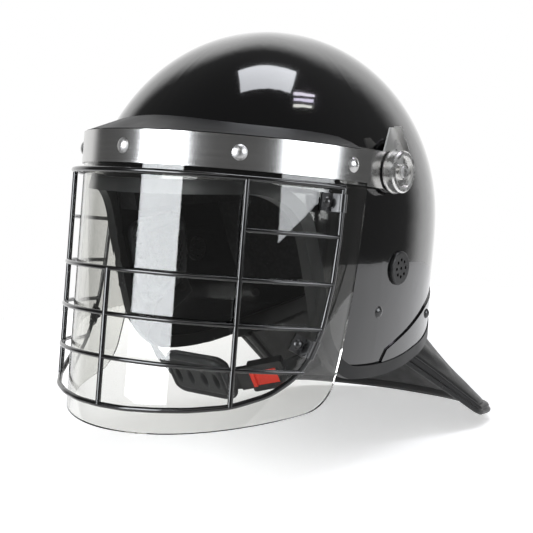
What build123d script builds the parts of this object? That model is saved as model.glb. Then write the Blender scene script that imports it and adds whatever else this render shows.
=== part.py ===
"""Police riot helmet: a gloss shell with a swing-up face shield and a welded wire grille.

Frame: millimetres, +Z up, the face looks along -Y, the wearer's left is +X.
The origin is the crown seat, where the top of the head meets the crown pad.
"""
from build123d import *

import os
from math import asin, atan2, cos, degrees, radians, sin

os.makedirs("parts", exist_ok=True)

# Shell
shell_half_width = 119.5
shell_half_length = 171.0
shell_rise = 162.5
skirt_drop = 136.0
shell_wall = 4.0
trim_wall = 2.4
trim_height = 11.0
strip_thickness = 1.6
strip_rivet_head_radius = 4.5
tail_relief = 0.15

# Padding
liner_gap = 0.5
liner_thickness = 20.0
crown_pad_thickness = 12.0
crown_pad_width_share = 0.485
crown_pad_length_share = 0.456
crown_pad_draw = 7.0
brow_pad_thickness = 14.0
brow_pad_height = 26.0
brow_pad_width_share = 0.6025
brow_pad_roll = 8.0
nape_pad_thickness = 14.0
nape_pad_height = 38.0
nape_pad_width_share = 0.385
nape_pad_roll = 9.0
pad_channel_radius = 2.4
cheek_pad_depth = 30.0
cheek_pad_corner = 12.0
cheek_pad_ball = 130.0
cheek_pad_taper = 6.0
cheek_channel_margin = 9.0
cheek_channel_width = 2.0
cheek_channel_depth = 2.0
soft_gap = 0.3
liner_margin = 13.0
crown_groove_width = 4.0
crown_groove_depth = 5.0

# Face shield
visor_pitch = 7.09
pivot_length_share = 0.0649
pivot_rise_share = 0.2794
lens_side_gap = 5.0
lens_front_gap = 6.1
lens_thickness = 3.0
front_radius_share = 0.9197
plan_ahead_share = 0.2953
lens_top = 11.0
lens_rear_ahead = 40.5
lens_rear_straight = 20.0
lens_rear_mid_ahead = 46.2
lens_rear_mid_depth = 90.0
lens_corner_ahead = 68.0
lens_corner_depth = 189.0
lens_chin_depth = 217.5
lens_corner = 38.0
band_height = 25.5
band_thickness = 1.5
band_rear = 39.0
arm_height = 30.0
arm_thickness = 1.5
arm_front = 73.0
arm_corner = 3.0
rivet_radius = 2.5
rivet_head_radius = 6.0
rivet_head_height = 2.6
seal_thickness = 2.5
seal_reach_share = 0.3515
seal_rise = 18.5
seal_clearance = 0.4
seal_taper_share = 1.485

# Wire grille
frame_wire_radius = 2.1
bar_wire_radius = 1.75
wire_stand_off = 7.5
grille_bottom = 198.0
stub_inner_bearing = 49.0
stub_outer_bearing = 79.3
bar_places = (2, 3, 4)
perimeter_bearings = (79.6, 79.3, 78.1, 75.6, 70.1, 60.0, 49.0, 36.0, 24.0, 12.0)
perimeter_depth_shares = (0.0947, 0.2874, 0.4737, 0.6475, 0.8146, 0.904, 0.9545, 0.9773, 0.9889, 0.998)
perimeter_bend = 60.0
clip_width = 14.0
clip_thickness = 1.2
clip_screw_ahead = 10.0
clip_plate_end = 6.0
clip_screw_radius = 2.0
clip_head_radius = 4.2
clip_head_height = 2.6
clip_nut_radius = 4.0
clip_nut_height = 3.0
nut_land = 0.2

# Pivot
pad_margin = 1.0
pad_depth = 20.0
nut_seat_drop = 9.8
base_thickness = 1.6
base_radius = 17.0
stop_apex_y = 4.9
stop_apex_z = 36.0
stop_foot_y = 17.5
stop_foot_z = 16.6
stop_flange = 5.5
friction_thickness = 0.6
bush_radius = 6.0
running_gap = 0.05
spring_radius = 13.0
spring_thickness = 1.4
back_radius = 18.3
back_thickness = 1.2
cap_radius = 17.25
cap_depth = 8.0
cap_recess_radius = 13.2
cap_recess_depth = 2.6
cap_boss_radius = 6.4
pivot_screw_radius = 3.0
pivot_screw_head_radius = 5.0
pivot_screw_head_height = 3.2
socket_flats = 5.0
nut_radius = 9.0
nut_thickness = 4.0
base_screw_radius = 1.75
base_screw_head_radius = 3.4
base_screw_length = 9.0
base_screw_y = 6.4
base_screw_z = 22.8

# Ear ports, chin strap and neck guard
plug_radius = 14.35
plug_body_radius = 11.5
plug_proud = 2.6
plug_hole_radius = 1.45
plug_hole_circle = 7.2
plug_hole_count = 8
strap_rivet_head_radius = 5.2
strap_rivet_head_height = 2.4
strap_rivet_shank = 2.4
strap_washer_radius = 7.0
strap_width = 20.0
strap_thickness = 2.0
strap_root_y = 1.0
strap_root_share = 0.522
strap_slope = 29.68
strap_root_room = 11.5
strap_end = 9.0
strap_knee_reach = 33.0
strap_jaw_half = 80.0
strap_jaw_reach = 82.0
strap_chin_half = 34.0
strap_chin_reach = 106.0
strap_knee_bend = 30.0
strap_jaw_bend = 30.0
strap_chin_bend = 36.0
cup_half_width = 34.0
cup_height = 42.0
cup_thickness = 4.0
cup_corner = 13.0
cup_slot_half_width = 2.3
cup_slot_half_height = 6.5
buckle_length = 30.0
buckle_width = 26.0
buckle_height = 8.0
buckle_wall = 2.0
tongue_width = 15.0
tongue_thickness = 1.6
tongue_play = 0.2
lever_length = 22.0
lever_width = 14.0
lever_thickness = 3.0
lever_pin_radius = 1.5
lever_play = 0.3
keeper_width = 8.0
keeper_thickness = 1.4
guard_thickness = 8.0
guard_edge = 2.5
guard_flare = 0.5
guard_front_room = 5.0
guard_reach = 76.0
guard_fall_share = 1.375
guard_sag = 11.0
guard_bearings = (0, 29, 66, 90)
guard_around_shares = (0.25, 0.45, 0.7, 1)
guard_down_shares = (0.904, 0.838, 0.735, 0.668)
collar_thickness = 4.0
collar_rise = 12.0
collar_drop = 5.0
collar_front_share = 0.386
overrun = 30.0
quarter_turn = 90

# Shape of the shell, as shares of its half width, half length, rise and skirt drop
crown_stack = shell_wall + liner_gap + liner_thickness + crown_pad_thickness
shell_centre_z = crown_stack - shell_rise
pivot_y = pivot_length_share * shell_half_length
pivot_z = shell_centre_z + pivot_rise_share * shell_rise
lens_half_width = shell_half_width + lens_side_gap
front_radius = front_radius_share * lens_half_width
plan_ahead = plan_ahead_share * shell_half_length
lens_chin_ahead = shell_half_length + pivot_y + lens_front_gap
lens_reach = lens_chin_ahead - plan_ahead
seal_reach = seal_reach_share * shell_half_width
seal_taper_ahead = seal_taper_share * plan_ahead
crown_pad_half_width = crown_pad_width_share * shell_half_width
crown_pad_half_length = crown_pad_length_share * shell_half_length
brow_pad_half_width = brow_pad_width_share * shell_half_width
nape_pad_half_width = nape_pad_width_share * shell_half_width
strap_root_half = shell_half_width - strap_root_room
strap_root_z = shell_centre_z - strap_root_share * skirt_drop
guard_bottom_half_width = shell_half_width + guard_flare
guard_bottom_front = shell_half_length - guard_front_room
guard_bottom_rear = shell_half_length + guard_reach
guard_bottom_z = shell_centre_z - guard_fall_share * skirt_drop
collar_front = collar_front_share * shell_half_length
plan_fullness_share = 0.675
quarter_arc_share = 0.5523
dome_width_shares = (1, 1, quarter_arc_share, 0)
dome_height_shares = (0, quarter_arc_share, 1, 1)
skirt_width_shares = (1, 1, 0.965, 0.89)
skirt_length_shares = (1, 1, 0.88, 1.03)
skirt_height_shares = (0, 1 / 3, 2 / 3, 1)

# Side outline of the shell, as shares of its half length and of the skirt's drop
temple_share = (-0.766, 0.257)
temple_bend_share = (-0.632, 0.199)
cheek_top_share = (-0.538, 0.022)
cheek_low_share = (-0.421, -0.581)
jaw_bend_share = (-0.327, -0.772)
jaw_share = (-0.187, -0.882)
rim_bend_share = (0.058, -0.912)
rim_side_share = (0.409, -0.875)
rim_rear_bend_share = (0.702, -0.787)
rim_rear_share = (1.041, -0.529)

# Corners of the padding in side view, as the same shares
liner_ear_share = (0.3216, 0.0662)
liner_nape_share = (0.4561, -0.5074)
brow_pad_top_share = (-0.5, 0.5147)
nape_pad_top_share = (0.5, -0.1765)
cheek_pad_shares = ((-0.4444, -0.0294), (-0.0468, 0.0441), (-0.0468, -0.4265), (-0.3392, -0.6176))


def bezier(shares, at):
    """Value at a place from 0 to 1 along a cubic with four control values."""
    back = 1 - at
    first, second, third, last = shares
    return back**3 * first + 3 * back**2 * at * second + 3 * back * at**2 * third + at**3 * last


def quarter_patch(width, length, width_shares, length_shares, heights, side, end):
    """One quarter of a ring of the shell's surface."""
    plan = (
        (width, 0),
        (width, plan_fullness_share * length),
        (plan_fullness_share * width, length),
        (0, length),
    )
    rows = [
        [
            Vector(side * x * width_shares[i], end * y * length_shares[i], heights[i])
            for i in range(len(heights))
        ]
        for x, y in plan
    ]
    return Face.make_bezier_surface(rows)


def shell_body(inset):
    """Closed body bounded by the shell's outer surface, moved inwards by an inset."""
    width = shell_half_width - inset
    length = shell_half_length - inset
    rise = shell_rise - inset
    dome_heights = [shell_centre_z + rise * share for share in dome_height_shares]
    skirt_heights = [shell_centre_z - skirt_drop * share for share in skirt_height_shares]
    quarters = [(1, 1), (-1, 1), (-1, -1), (1, -1)]
    faces = []
    for side, end in quarters:
        faces.append(
            quarter_patch(width, length, dome_width_shares, dome_width_shares, dome_heights, side, end)
        )
        faces.append(
            quarter_patch(
                width, length, skirt_width_shares, skirt_length_shares, skirt_heights, side, end
            )
        )
    floor_edges = []
    for face in faces:
        floor_edges += [
            edge
            for edge in face.edges()
            if abs((edge @ 0).Z - skirt_heights[-1]) < shell_wall / 100
            and abs((edge @ 1).Z - skirt_heights[-1]) < shell_wall / 100
        ]
    faces.append(Face(Wire(floor_edges)))
    body = Solid(Shell(faces))
    return body if body.volume > 0 else Solid(Shell([-face for face in faces]))


def bezier_slope(shares, at):
    """Slope at a place from 0 to 1 along a cubic with four control values."""
    back = 1 - at
    first, second, third, last = shares
    rise = back**2 * (second - first) + 2 * back * at * (third - second) + at**2 * (last - third)
    return 3 * rise


def skirt_spot(around, down, inset, side, end):
    """Plane on the skirt, Z pointing out of it; around runs from the side to the front or rear."""
    width = shell_half_width - inset
    length = shell_half_length - inset
    across = (width, width, plan_fullness_share * width, 0)
    along = (0, plan_fullness_share * length, length, length)
    x_scale = bezier(skirt_width_shares, down)
    y_scale = bezier(skirt_length_shares, down)
    spot = Vector(
        side * bezier(across, around) * x_scale,
        end * bezier(along, around) * y_scale,
        shell_centre_z - skirt_drop * down,
    )
    level_run = Vector(
        side * bezier_slope(across, around) * x_scale,
        end * bezier_slope(along, around) * y_scale,
        0,
    )
    down_run = Vector(
        side * bezier(across, around) * bezier_slope(skirt_width_shares, down),
        end * bezier(along, around) * bezier_slope(skirt_length_shares, down),
        -skirt_drop,
    )
    outward = down_run.cross(level_run) * (side * end)
    return Plane(origin=spot, x_dir=level_run, z_dir=outward)


def side_point(share):
    """Point of the shell's side outline from its shares."""
    return (share[0] * shell_half_length, shell_centre_z + share[1] * skirt_drop)


far_side = Plane.YZ.offset(-shell_half_width - overrun)


def side_area(growth):
    """Area of the shell in side view, its edge moved outwards by a growth."""
    ahead = -shell_half_length - overrun
    behind = shell_half_length + overrun
    above = crown_stack + overrun
    with BuildSketch(far_side) as area:
        with BuildLine():
            Polyline(
                side_point(rim_rear_share),
                (behind, side_point(rim_rear_share)[1]),
                (behind, above),
                (ahead, above),
                (ahead, side_point(temple_share)[1]),
                side_point(temple_share),
            )
            ThreePointArc(
                side_point(temple_share), side_point(temple_bend_share), side_point(cheek_top_share)
            )
            Line(side_point(cheek_top_share), side_point(cheek_low_share))
            ThreePointArc(
                side_point(cheek_low_share), side_point(jaw_bend_share), side_point(jaw_share)
            )
            ThreePointArc(
                side_point(jaw_share), side_point(rim_bend_share), side_point(rim_side_share)
            )
            ThreePointArc(
                side_point(rim_side_share),
                side_point(rim_rear_bend_share),
                side_point(rim_rear_share),
            )
        make_face()
        if growth != 0:
            offset(amount=growth, mode=Mode.REPLACE)
    return area.sketch


def side_slab(area):
    """Slab across the whole helmet with the outline of an area in side view."""
    with BuildPart() as slab:
        extrude(area, amount=2 * (shell_half_width + overrun), dir=far_side.z_dir)
    return slab.part


def shell_layer(outer_inset, inner_inset, area):
    """Layer between two insets of the shell's surface, inside an area in side view."""
    with BuildPart() as layer:
        add(shell_body(outer_inset))
        add(side_slab(area), mode=Mode.INTERSECT)
        add(shell_body(inner_inset), mode=Mode.SUBTRACT)
    return layer.part


def domed_pin(place, head_radius, head_height, shank_radius, grip, tail_radius, tail_height):
    """Pin with a domed head outside its grip and a flat tail inside it."""
    ball = (head_radius**2 + head_height**2) / (2 * head_height)
    half_turn = asin(head_radius / ball) / 2
    with BuildPart() as pin:
        with BuildSketch(Plane.XZ):
            with BuildLine():
                Polyline(
                    (0, head_height),
                    (0, -grip - tail_height),
                    (tail_radius, -grip - tail_height),
                    (tail_radius, -grip),
                    (shank_radius, -grip),
                    (shank_radius, 0),
                    (head_radius, 0),
                )
                ThreePointArc(
                    (head_radius, 0),
                    (ball * sin(half_turn), head_height - ball + ball * cos(half_turn)),
                    (0, head_height),
                )
            make_face()
        revolve(axis=Axis.Z)
    return place.location * pin.part


def rod(place, radius, below, above):
    """Round rod along the Z axis of a plane."""
    with BuildPart() as bar:
        with BuildSketch(place.offset(-below)):
            Circle(radius)
        extrude(amount=below + above)
    return bar.part


# Planes of the face shield: its own up direction, and its side view
visor = Plane(
    origin=(0, pivot_y, pivot_z),
    x_dir=(1, 0, 0),
    z_dir=(0, sin(radians(visor_pitch)), cos(radians(visor_pitch))),
)
visor_side = Plane(origin=visor.origin, x_dir=visor.y_dir, z_dir=(1, 0, 0))

# Plan of the face shield: a front arc that runs into a flatter arc on each side
front_offset = lens_reach - front_radius
side_radius = (lens_half_width**2 + front_offset**2 - front_radius**2) / (
    2 * (lens_half_width - front_radius)
)
side_turn = degrees(atan2(front_offset, side_radius - lens_half_width))
side_bearing = quarter_turn - side_turn


def plan_arcs(shift):
    """Three tangent arcs of the plan, from the wearer's left to the right, moved outwards."""
    side_centre = lens_half_width - side_radius
    CenterArc((side_centre, -plan_ahead), side_radius + shift, 0, -side_turn)
    CenterArc(
        (0, -plan_ahead - front_offset),
        front_radius + shift,
        -side_turn,
        -2 * side_bearing,
    )
    CenterArc((-side_centre, -plan_ahead), side_radius + shift, side_turn - 180, -side_turn)


def plan_body(shift, bottom, top, back):
    """Solid behind the plan's arcs, from a bottom to a top level, ending behind the pivot."""
    with BuildPart() as body:
        with BuildSketch(visor.offset(bottom)):
            with BuildLine():
                plan_arcs(shift)
                Polyline(
                    (-lens_half_width - shift, -plan_ahead),
                    (-lens_half_width - shift, back),
                    (lens_half_width + shift, back),
                    (lens_half_width + shift, -plan_ahead),
                )
            make_face()
        extrude(amount=top - bottom)
    return body.part


def plan_spot(shift, bearing, level):
    """Plane on the plan's surface at a bearing from straight ahead, Z pointing outwards."""
    ahead = cos(radians(bearing))
    aside = sin(radians(bearing))
    if abs(bearing) <= side_bearing:
        across = (front_radius + shift) * aside
        back = -plan_ahead - front_offset - (front_radius + shift) * ahead
    else:
        side = 1 if bearing > 0 else -1
        across = side * (lens_half_width - side_radius) + (side_radius + shift) * aside
        back = -plan_ahead - (side_radius + shift) * ahead
    spot = visor.from_local_coords((across, back, level))
    outward = visor.from_local_coords((aside, -ahead, 0)) - visor.origin
    return Plane(origin=spot, x_dir=visor.z_dir, z_dir=outward)


def visor_slab(points):
    """Slab across the helmet with the outline of points in the face shield's side view."""
    with BuildPart() as slab:
        with BuildSketch(visor_side.offset(-lens_half_width - overrun)):
            with BuildLine():
                Polyline(*points, close=True)
            make_face()
        extrude(amount=2 * (lens_half_width + overrun))
    return slab.part


# Outline of the plate at each pivot
pad_face = lens_half_width - lens_thickness - arm_thickness - friction_thickness - base_thickness
pivot_face = Plane(origin=(pad_face, pivot_y, pivot_z), x_dir=(0, 1, 0), z_dir=(1, 0, 0))


with BuildPart() as pivot_plate:
    with BuildSketch(pivot_face):
        Circle(base_radius)
        with BuildLine():
            Polyline(
                (-base_radius * 0.76, base_radius * 0.65),
                (stop_apex_y - base_screw_head_radius * 2, stop_apex_z),
                (stop_apex_y, stop_apex_z),
                (stop_foot_y, stop_foot_z),
                (base_radius * 0.76, -base_radius * 0.65),
                close=True,
            )
        make_face()
    extrude(amount=base_thickness)

base_screw_spot = Plane(
    origin=pivot_face.from_local_coords((base_screw_y, base_screw_z, 0)), z_dir=pivot_face.z_dir
)
plug_spot = skirt_spot(0.08, 0.265, 0, 1, 1)
strap_rivet_spot = skirt_spot(0, 0.518, 0, 1, 1)
nape_rivet_places = ((0.36, 0.628), (0.62, 0.57))
nape_rivet_spots = [skirt_spot(around, down, 0, 1, 1) for around, down in nape_rivet_places]
shell_outline = side_area(0)


# Shell, with a flat pad at each pivot and a small post under each plate's screw
with BuildPart() as pivot_pad:
    add(rod(pivot_face, base_radius - pad_margin, pad_depth, 0))
    add(rod(base_screw_spot, base_screw_head_radius + pad_margin, pad_depth, 0))
side_cuts = [
    rod(pivot_face, bush_radius, nut_seat_drop + overrun, overrun),
    rod(plug_spot, plug_body_radius, overrun, overrun),
    rod(strap_rivet_spot, strap_rivet_shank, overrun, overrun),
]
for spot in nape_rivet_spots:
    side_cuts.append(rod(spot, rivet_radius, overrun, overrun))
side_cuts.append(rod(base_screw_spot, base_screw_radius, base_screw_length, overrun))

with BuildPart() as outer_shell:
    add(shell_body(0))
    add(pivot_pad.part)
    mirror(pivot_pad.part, about=Plane.YZ)
    add(side_slab(shell_outline), mode=Mode.INTERSECT)
    add(shell_body(shell_wall), mode=Mode.SUBTRACT)
    nut_boss = rod(
        pivot_face.offset(-nut_seat_drop), nut_radius + pad_margin, 0, nut_seat_drop - pad_margin
    )
    add(nut_boss)
    mirror(nut_boss, about=Plane.YZ)
    for cut in side_cuts:
        add(cut, mode=Mode.SUBTRACT)
        mirror(cut, about=Plane.YZ, mode=Mode.SUBTRACT)
outer_shell.part.label = "outer_shell"

# Rubber trim that grips the shell's edge
trim_outer_inset = -trim_wall
trim_inner_inset = shell_wall + trim_wall
trim_top = trim_wall - trim_height

with BuildPart() as edge_trim:
    add(shell_layer(trim_outer_inset, trim_inner_inset, side_area(trim_wall)))
    add(side_slab(side_area(trim_top)), mode=Mode.SUBTRACT)
    add(shell_layer(0, shell_wall, shell_outline), mode=Mode.SUBTRACT)
edge_trim.part.label = "edge_trim"


def level_slab(points):
    """Slab across the helmet with the outline of points in side view."""
    with BuildPart() as slab:
        with BuildSketch(far_side):
            with BuildLine():
                Polyline(*points, close=True)
            make_face()
        extrude(amount=2 * (shell_half_width + overrun))
    return slab.part


# Foam liner, open at the ears and longer at the nape
liner_outer_inset = shell_wall + liner_gap
liner_inner_inset = liner_outer_inset + liner_thickness
far_ahead = -shell_half_length - overrun
far_behind = shell_half_length + overrun
far_above = crown_stack + overrun

with BuildPart() as impact_liner:
    add(shell_layer(liner_outer_inset, liner_inner_inset, side_area(-liner_margin)))
    add(
        level_slab(
            (
                (far_ahead, far_above),
                (far_ahead, side_point(liner_ear_share)[1]),
                side_point(liner_ear_share),
                side_point(liner_nape_share),
                (far_behind, side_point(liner_nape_share)[1]),
                (far_behind, far_above),
            )
        ),
        mode=Mode.INTERSECT,
    )
    nut_pocket = rod(
        pivot_face.offset(-nut_seat_drop), nut_radius + 2 * pad_margin, nut_thickness * 2, overrun
    )
    add(nut_pocket, mode=Mode.SUBTRACT)
    mirror(nut_pocket, about=Plane.YZ, mode=Mode.SUBTRACT)
impact_liner.part.label = "impact_liner"

# Comfort pads
pad_outer_inset = liner_inner_inset + soft_gap

with BuildPart() as crown_groove:
    Box(crown_groove_width, crown_pad_half_length * 2, far_above)
    Box(crown_pad_half_width * 2, crown_groove_width, far_above)
    add(shell_body(crown_stack - crown_groove_depth), mode=Mode.INTERSECT)

with BuildPart() as crown_pad:
    with BuildSketch(Plane.XY.offset(crown_stack)):
        Ellipse(crown_pad_half_width, crown_pad_half_length)
    with BuildSketch(Plane.XY.offset(-crown_stack)):
        Ellipse(crown_pad_half_width - crown_pad_draw, crown_pad_half_length - crown_pad_draw)
    loft()
    add(shell_body(pad_outer_inset), mode=Mode.INTERSECT)
    add(shell_body(crown_stack), mode=Mode.SUBTRACT)
    add(crown_groove.part, mode=Mode.SUBTRACT)
crown_pad.part.label = "crown_pad"


def band_box(half_width, front, rear, bottom, top):
    """Box about the middle plane between a front, a rear, a bottom and a top."""
    with BuildPart() as box:
        with Locations((0, (front + rear) / 2, (bottom + top) / 2)):
            Box(half_width * 2, rear - front, top - bottom)
    return box.part


def level_share(level, inset):
    """Share of the shell's half length that an inset surface has at a level."""
    if level > shell_centre_z:
        return (1 - ((level - shell_centre_z) / (shell_rise - inset)) ** 2) ** 0.5
    return bezier(skirt_length_shares, (shell_centre_z - level) / skirt_drop)


def band_pad(end, top, half_width, height, thickness, roll):
    """Rolled pad along the liner at the front or rear, with sewn channels across it."""
    width = shell_half_width - pad_outer_inset
    length = shell_half_length - pad_outer_inset
    middle = top - height / 2
    share = level_share(middle, pad_outer_inset)
    lean = atan2(
        length * (level_share(top - height, pad_outer_inset) - level_share(top, pad_outer_inset)),
        height,
    )
    plan_radius = 1.5 * (plan_fullness_share * width) ** 2 / ((1 - plan_fullness_share) * length)
    seat = plan_radius * share
    axis_y = end * (length * share - seat)
    elevation = Plane(origin=(0, 0, middle), x_dir=(1, 0, 0), z_dir=(0, end, 0))
    with BuildPart() as pad:
        with BuildSketch(Plane(origin=(0, axis_y, middle), x_dir=(0, end, 0), z_dir=(end, 0, 0))):
            with Locations((seat, 0)):
                RectangleRounded(thickness * 2, height, roll, rotation=degrees(lean))
        revolve(axis=Axis((0, axis_y, middle), (0, 0, 1)))
        add(shell_body(pad_outer_inset), mode=Mode.INTERSECT)
        with BuildSketch(elevation):
            RectangleRounded(half_width * 2, height + roll * 2, roll)
        extrude(amount=shell_half_length, mode=Mode.INTERSECT)
        for place_share in (-0.5, 0, 0.5):
            bearing = asin(place_share * half_width / seat)
            radial = Vector(sin(bearing), end * cos(bearing), 0)
            rise = Vector(0, 0, 1)
            face = Vector(0, axis_y, middle) + radial * (seat - thickness * cos(lean))
            channel = Plane(
                origin=face - rise * thickness * sin(lean),
                z_dir=rise * cos(lean) - radial * sin(lean),
            )
            add(rod(channel, pad_channel_radius, height, height), mode=Mode.SUBTRACT)
    return pad.part


with BuildPart() as brow_pad:
    add(
        band_pad(
            -1,
            side_point(brow_pad_top_share)[1],
            brow_pad_half_width,
            brow_pad_height,
            brow_pad_thickness,
            brow_pad_roll,
        )
    )
brow_pad.part.label = "brow_pad"

with BuildPart() as nape_pad:
    add(
        band_pad(
            1,
            side_point(nape_pad_top_share)[1],
            nape_pad_half_width,
            nape_pad_height,
            nape_pad_thickness,
            nape_pad_roll,
        )
    )
nape_pad.part.label = "nape_pad"

# Cheek pads: crowned towards the face, with drawn-in sides and a sewn channel
cheek_corners = [side_point(share) for share in cheek_pad_shares]
cheek_middle_y = sum(y for y, z in cheek_corners) / len(cheek_corners)
cheek_middle_z = sum(z for y, z in cheek_corners) / len(cheek_corners)
cheek_inner_x = shell_half_width - liner_outer_inset - cheek_pad_depth


def cheek_area(shrink):
    """Outline of the cheek pad in side view, moved inwards."""
    with BuildSketch() as area:
        with BuildLine():
            FilletPolyline(*cheek_corners, radius=cheek_pad_corner, close=True)
        make_face()
        if shrink:
            offset(amount=-shrink, mode=Mode.REPLACE)
    return area.sketch


def cheek_ball(shrink):
    """Ball whose face is the pad's crown, moved outwards from the face."""
    with BuildPart() as ball:
        with Locations((cheek_inner_x + cheek_pad_ball, cheek_middle_y, cheek_middle_z)):
            Sphere(cheek_pad_ball - shrink)
    return ball.part


with BuildPart() as cheek_channel:
    with BuildSketch(Plane.YZ):
        add(cheek_area(cheek_channel_margin))
        add(cheek_area(cheek_channel_margin + cheek_channel_width), mode=Mode.SUBTRACT)
    extrude(amount=shell_half_width)
    add(cheek_ball(cheek_channel_depth), mode=Mode.SUBTRACT)

with BuildPart() as cheek_pad_left:
    with BuildSketch(Plane.YZ.offset(cheek_inner_x)):
        add(cheek_area(cheek_pad_taper))
    with BuildSketch(Plane.YZ.offset(cheek_inner_x + cheek_pad_depth)):
        add(cheek_area(0))
    loft()
    add(shell_body(liner_outer_inset), mode=Mode.INTERSECT)
    add(cheek_ball(0), mode=Mode.INTERSECT)
    add(cheek_channel.part, mode=Mode.SUBTRACT)
cheek_pad_left.part.label = "cheek_pad_left"

with BuildPart() as cheek_pad_right:
    mirror(cheek_pad_left.part, about=Plane.YZ)
cheek_pad_right.part.label = "cheek_pad_right"

# Soft strip over the trim at the nape, and its rivets
strip_upper_shares = (
    (0.07, -0.835),
    (0.105, -0.772),
    (0.298, -0.691),
    (0.538, -0.574),
    (0.819, -0.471),
    (1.111, -0.29),
)

with BuildPart() as nape_strip:
    add(shell_layer(-strip_thickness, 0, side_area(trim_top)))
    add(
        level_slab(
            (
                *[side_point(share) for share in strip_upper_shares],
                (far_behind, -far_behind * 2),
                (side_point(strip_upper_shares[0])[0], -far_behind * 2),
            )
        ),
        mode=Mode.INTERSECT,
    )
    for spot in nape_rivet_spots:
        hole = rod(spot, rivet_radius, overrun, overrun)
        add(hole, mode=Mode.SUBTRACT)
        mirror(hole, about=Plane.YZ, mode=Mode.SUBTRACT)
nape_strip.part.label = "nape_strip"

rivet_tail_radius = rivet_radius * 1.6
rivet_tail_height = rivet_radius * 0.4

with BuildPart() as nape_rivets:
    for spot in nape_rivet_spots:
        pin = domed_pin(
            spot.offset(strip_thickness + tail_relief),
            strip_rivet_head_radius,
            rivet_head_height,
            rivet_radius,
            strip_thickness + shell_wall + tail_relief * 2,
            rivet_tail_radius,
            rivet_tail_height,
        )
        add(pin)
        mirror(pin, about=Plane.YZ)
nape_rivets.part.label = "nape_rivets"

# Vented plug in each ear port
plug_seat_depth = plug_proud + shell_wall

with BuildPart() as ear_plug_left:
    with BuildSketch(plug_spot.offset(-plug_seat_depth)):
        Circle(plug_radius)
    extrude(amount=plug_seat_depth + plug_proud)
    plug_axis = Axis(plug_spot.origin, plug_spot.z_dir)
    fillet(ear_plug_left.faces().sort_by(plug_axis)[-1].edges(), plug_proud / 2)
    add(shell_body(0), mode=Mode.SUBTRACT)
    add(rod(plug_spot, plug_body_radius, plug_seat_depth, plug_proud / 2))
    with BuildSketch(plug_spot.offset(plug_proud)):
        with PolarLocations(plug_hole_circle, plug_hole_count):
            Circle(plug_hole_radius)
        Circle(plug_hole_radius)
    extrude(amount=-plug_seat_depth - overrun, mode=Mode.SUBTRACT)
ear_plug_left.part.label = "ear_plug_left"

with BuildPart() as ear_plug_right:
    mirror(ear_plug_left.part, about=Plane.YZ)
ear_plug_right.part.label = "ear_plug_right"

# Pivot stack, from the pad outwards
base_face = base_thickness
arm_inner = base_face + friction_thickness
arm_outer = arm_inner + arm_thickness
spring_face = arm_outer + spring_thickness
back_face = spring_face + back_thickness
cap_face = back_face + cap_depth
flange_run = Vector(stop_apex_y - stop_foot_y, stop_apex_z - stop_foot_z, 0)
flange_length = flange_run.length
flange_out = Vector(flange_run.Y, -flange_run.X, 0).normalized()
flange_middle = Vector(stop_apex_y + stop_foot_y, stop_apex_z + stop_foot_z, 0) / 2
flange_turn = degrees(atan2(flange_run.Y, flange_run.X))

with BuildPart() as base_plate_left:
    add(pivot_plate.part)
    with BuildSketch(pivot_face):
        with Locations(Pos(*(flange_middle + flange_out * base_thickness / 2)) * Rot(0, 0, flange_turn)):
            Rectangle(flange_length, base_thickness)
    extrude(amount=base_face + stop_flange)
    add(rod(pivot_face, bush_radius, overrun, overrun), mode=Mode.SUBTRACT)
    add(rod(base_screw_spot, base_screw_radius, overrun, overrun), mode=Mode.SUBTRACT)
    with Locations(base_screw_spot.offset(base_face) * Rot(180, 0, 0)):
        Cone(
            base_screw_head_radius,
            base_screw_radius,
            base_face,
            align=(Align.CENTER, Align.CENTER, Align.MIN),
            mode=Mode.SUBTRACT,
        )
base_plate_left.part.label = "base_plate_left"

with BuildPart() as base_plate_right:
    mirror(base_plate_left.part, about=Plane.YZ)
base_plate_right.part.label = "base_plate_right"

slot_width = base_screw_radius / 2

with BuildPart() as base_screws:
    add(rod(base_screw_spot, base_screw_radius, base_screw_length, 0))
    with Locations(base_screw_spot.offset(base_face) * Rot(180, 0, 0)):
        Cone(
            base_screw_head_radius,
            base_screw_radius,
            base_face,
            align=(Align.CENTER, Align.CENTER, Align.MIN),
        )
    with BuildSketch(base_screw_spot.offset(base_face)):
        Rectangle(base_screw_head_radius * 2, slot_width)
    extrude(amount=-base_face / 2, mode=Mode.SUBTRACT)
    mirror(about=Plane.YZ)
base_screws.part.label = "base_screws"


def washer(bottom, top, outer_radius, inner_radius):
    """Flat ring of the pivot stack, and its mirror image."""
    with BuildPart() as ring:
        with BuildSketch(pivot_face.offset(bottom)):
            Circle(outer_radius)
            Circle(inner_radius, mode=Mode.SUBTRACT)
        extrude(amount=top - bottom)
        mirror(about=Plane.YZ)
    return ring.part


with BuildPart() as friction_washers:
    add(washer(base_face, arm_inner, base_radius, bush_radius))
friction_washers.part.label = "friction_washers"

with BuildPart() as pivot_bushes:
    add(washer(-nut_seat_drop, arm_outer, bush_radius, pivot_screw_radius))
pivot_bushes.part.label = "pivot_bushes"

with BuildPart() as spring_washers:
    add(washer(arm_outer, spring_face, spring_radius, pivot_screw_radius))
spring_washers.part.label = "spring_washers"

with BuildPart() as back_washers:
    add(washer(spring_face, back_face, back_radius, pivot_screw_radius))
back_washers.part.label = "back_washers"

screw_seat = cap_face - cap_recess_depth
cap_bevel = cap_recess_depth / 2

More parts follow.
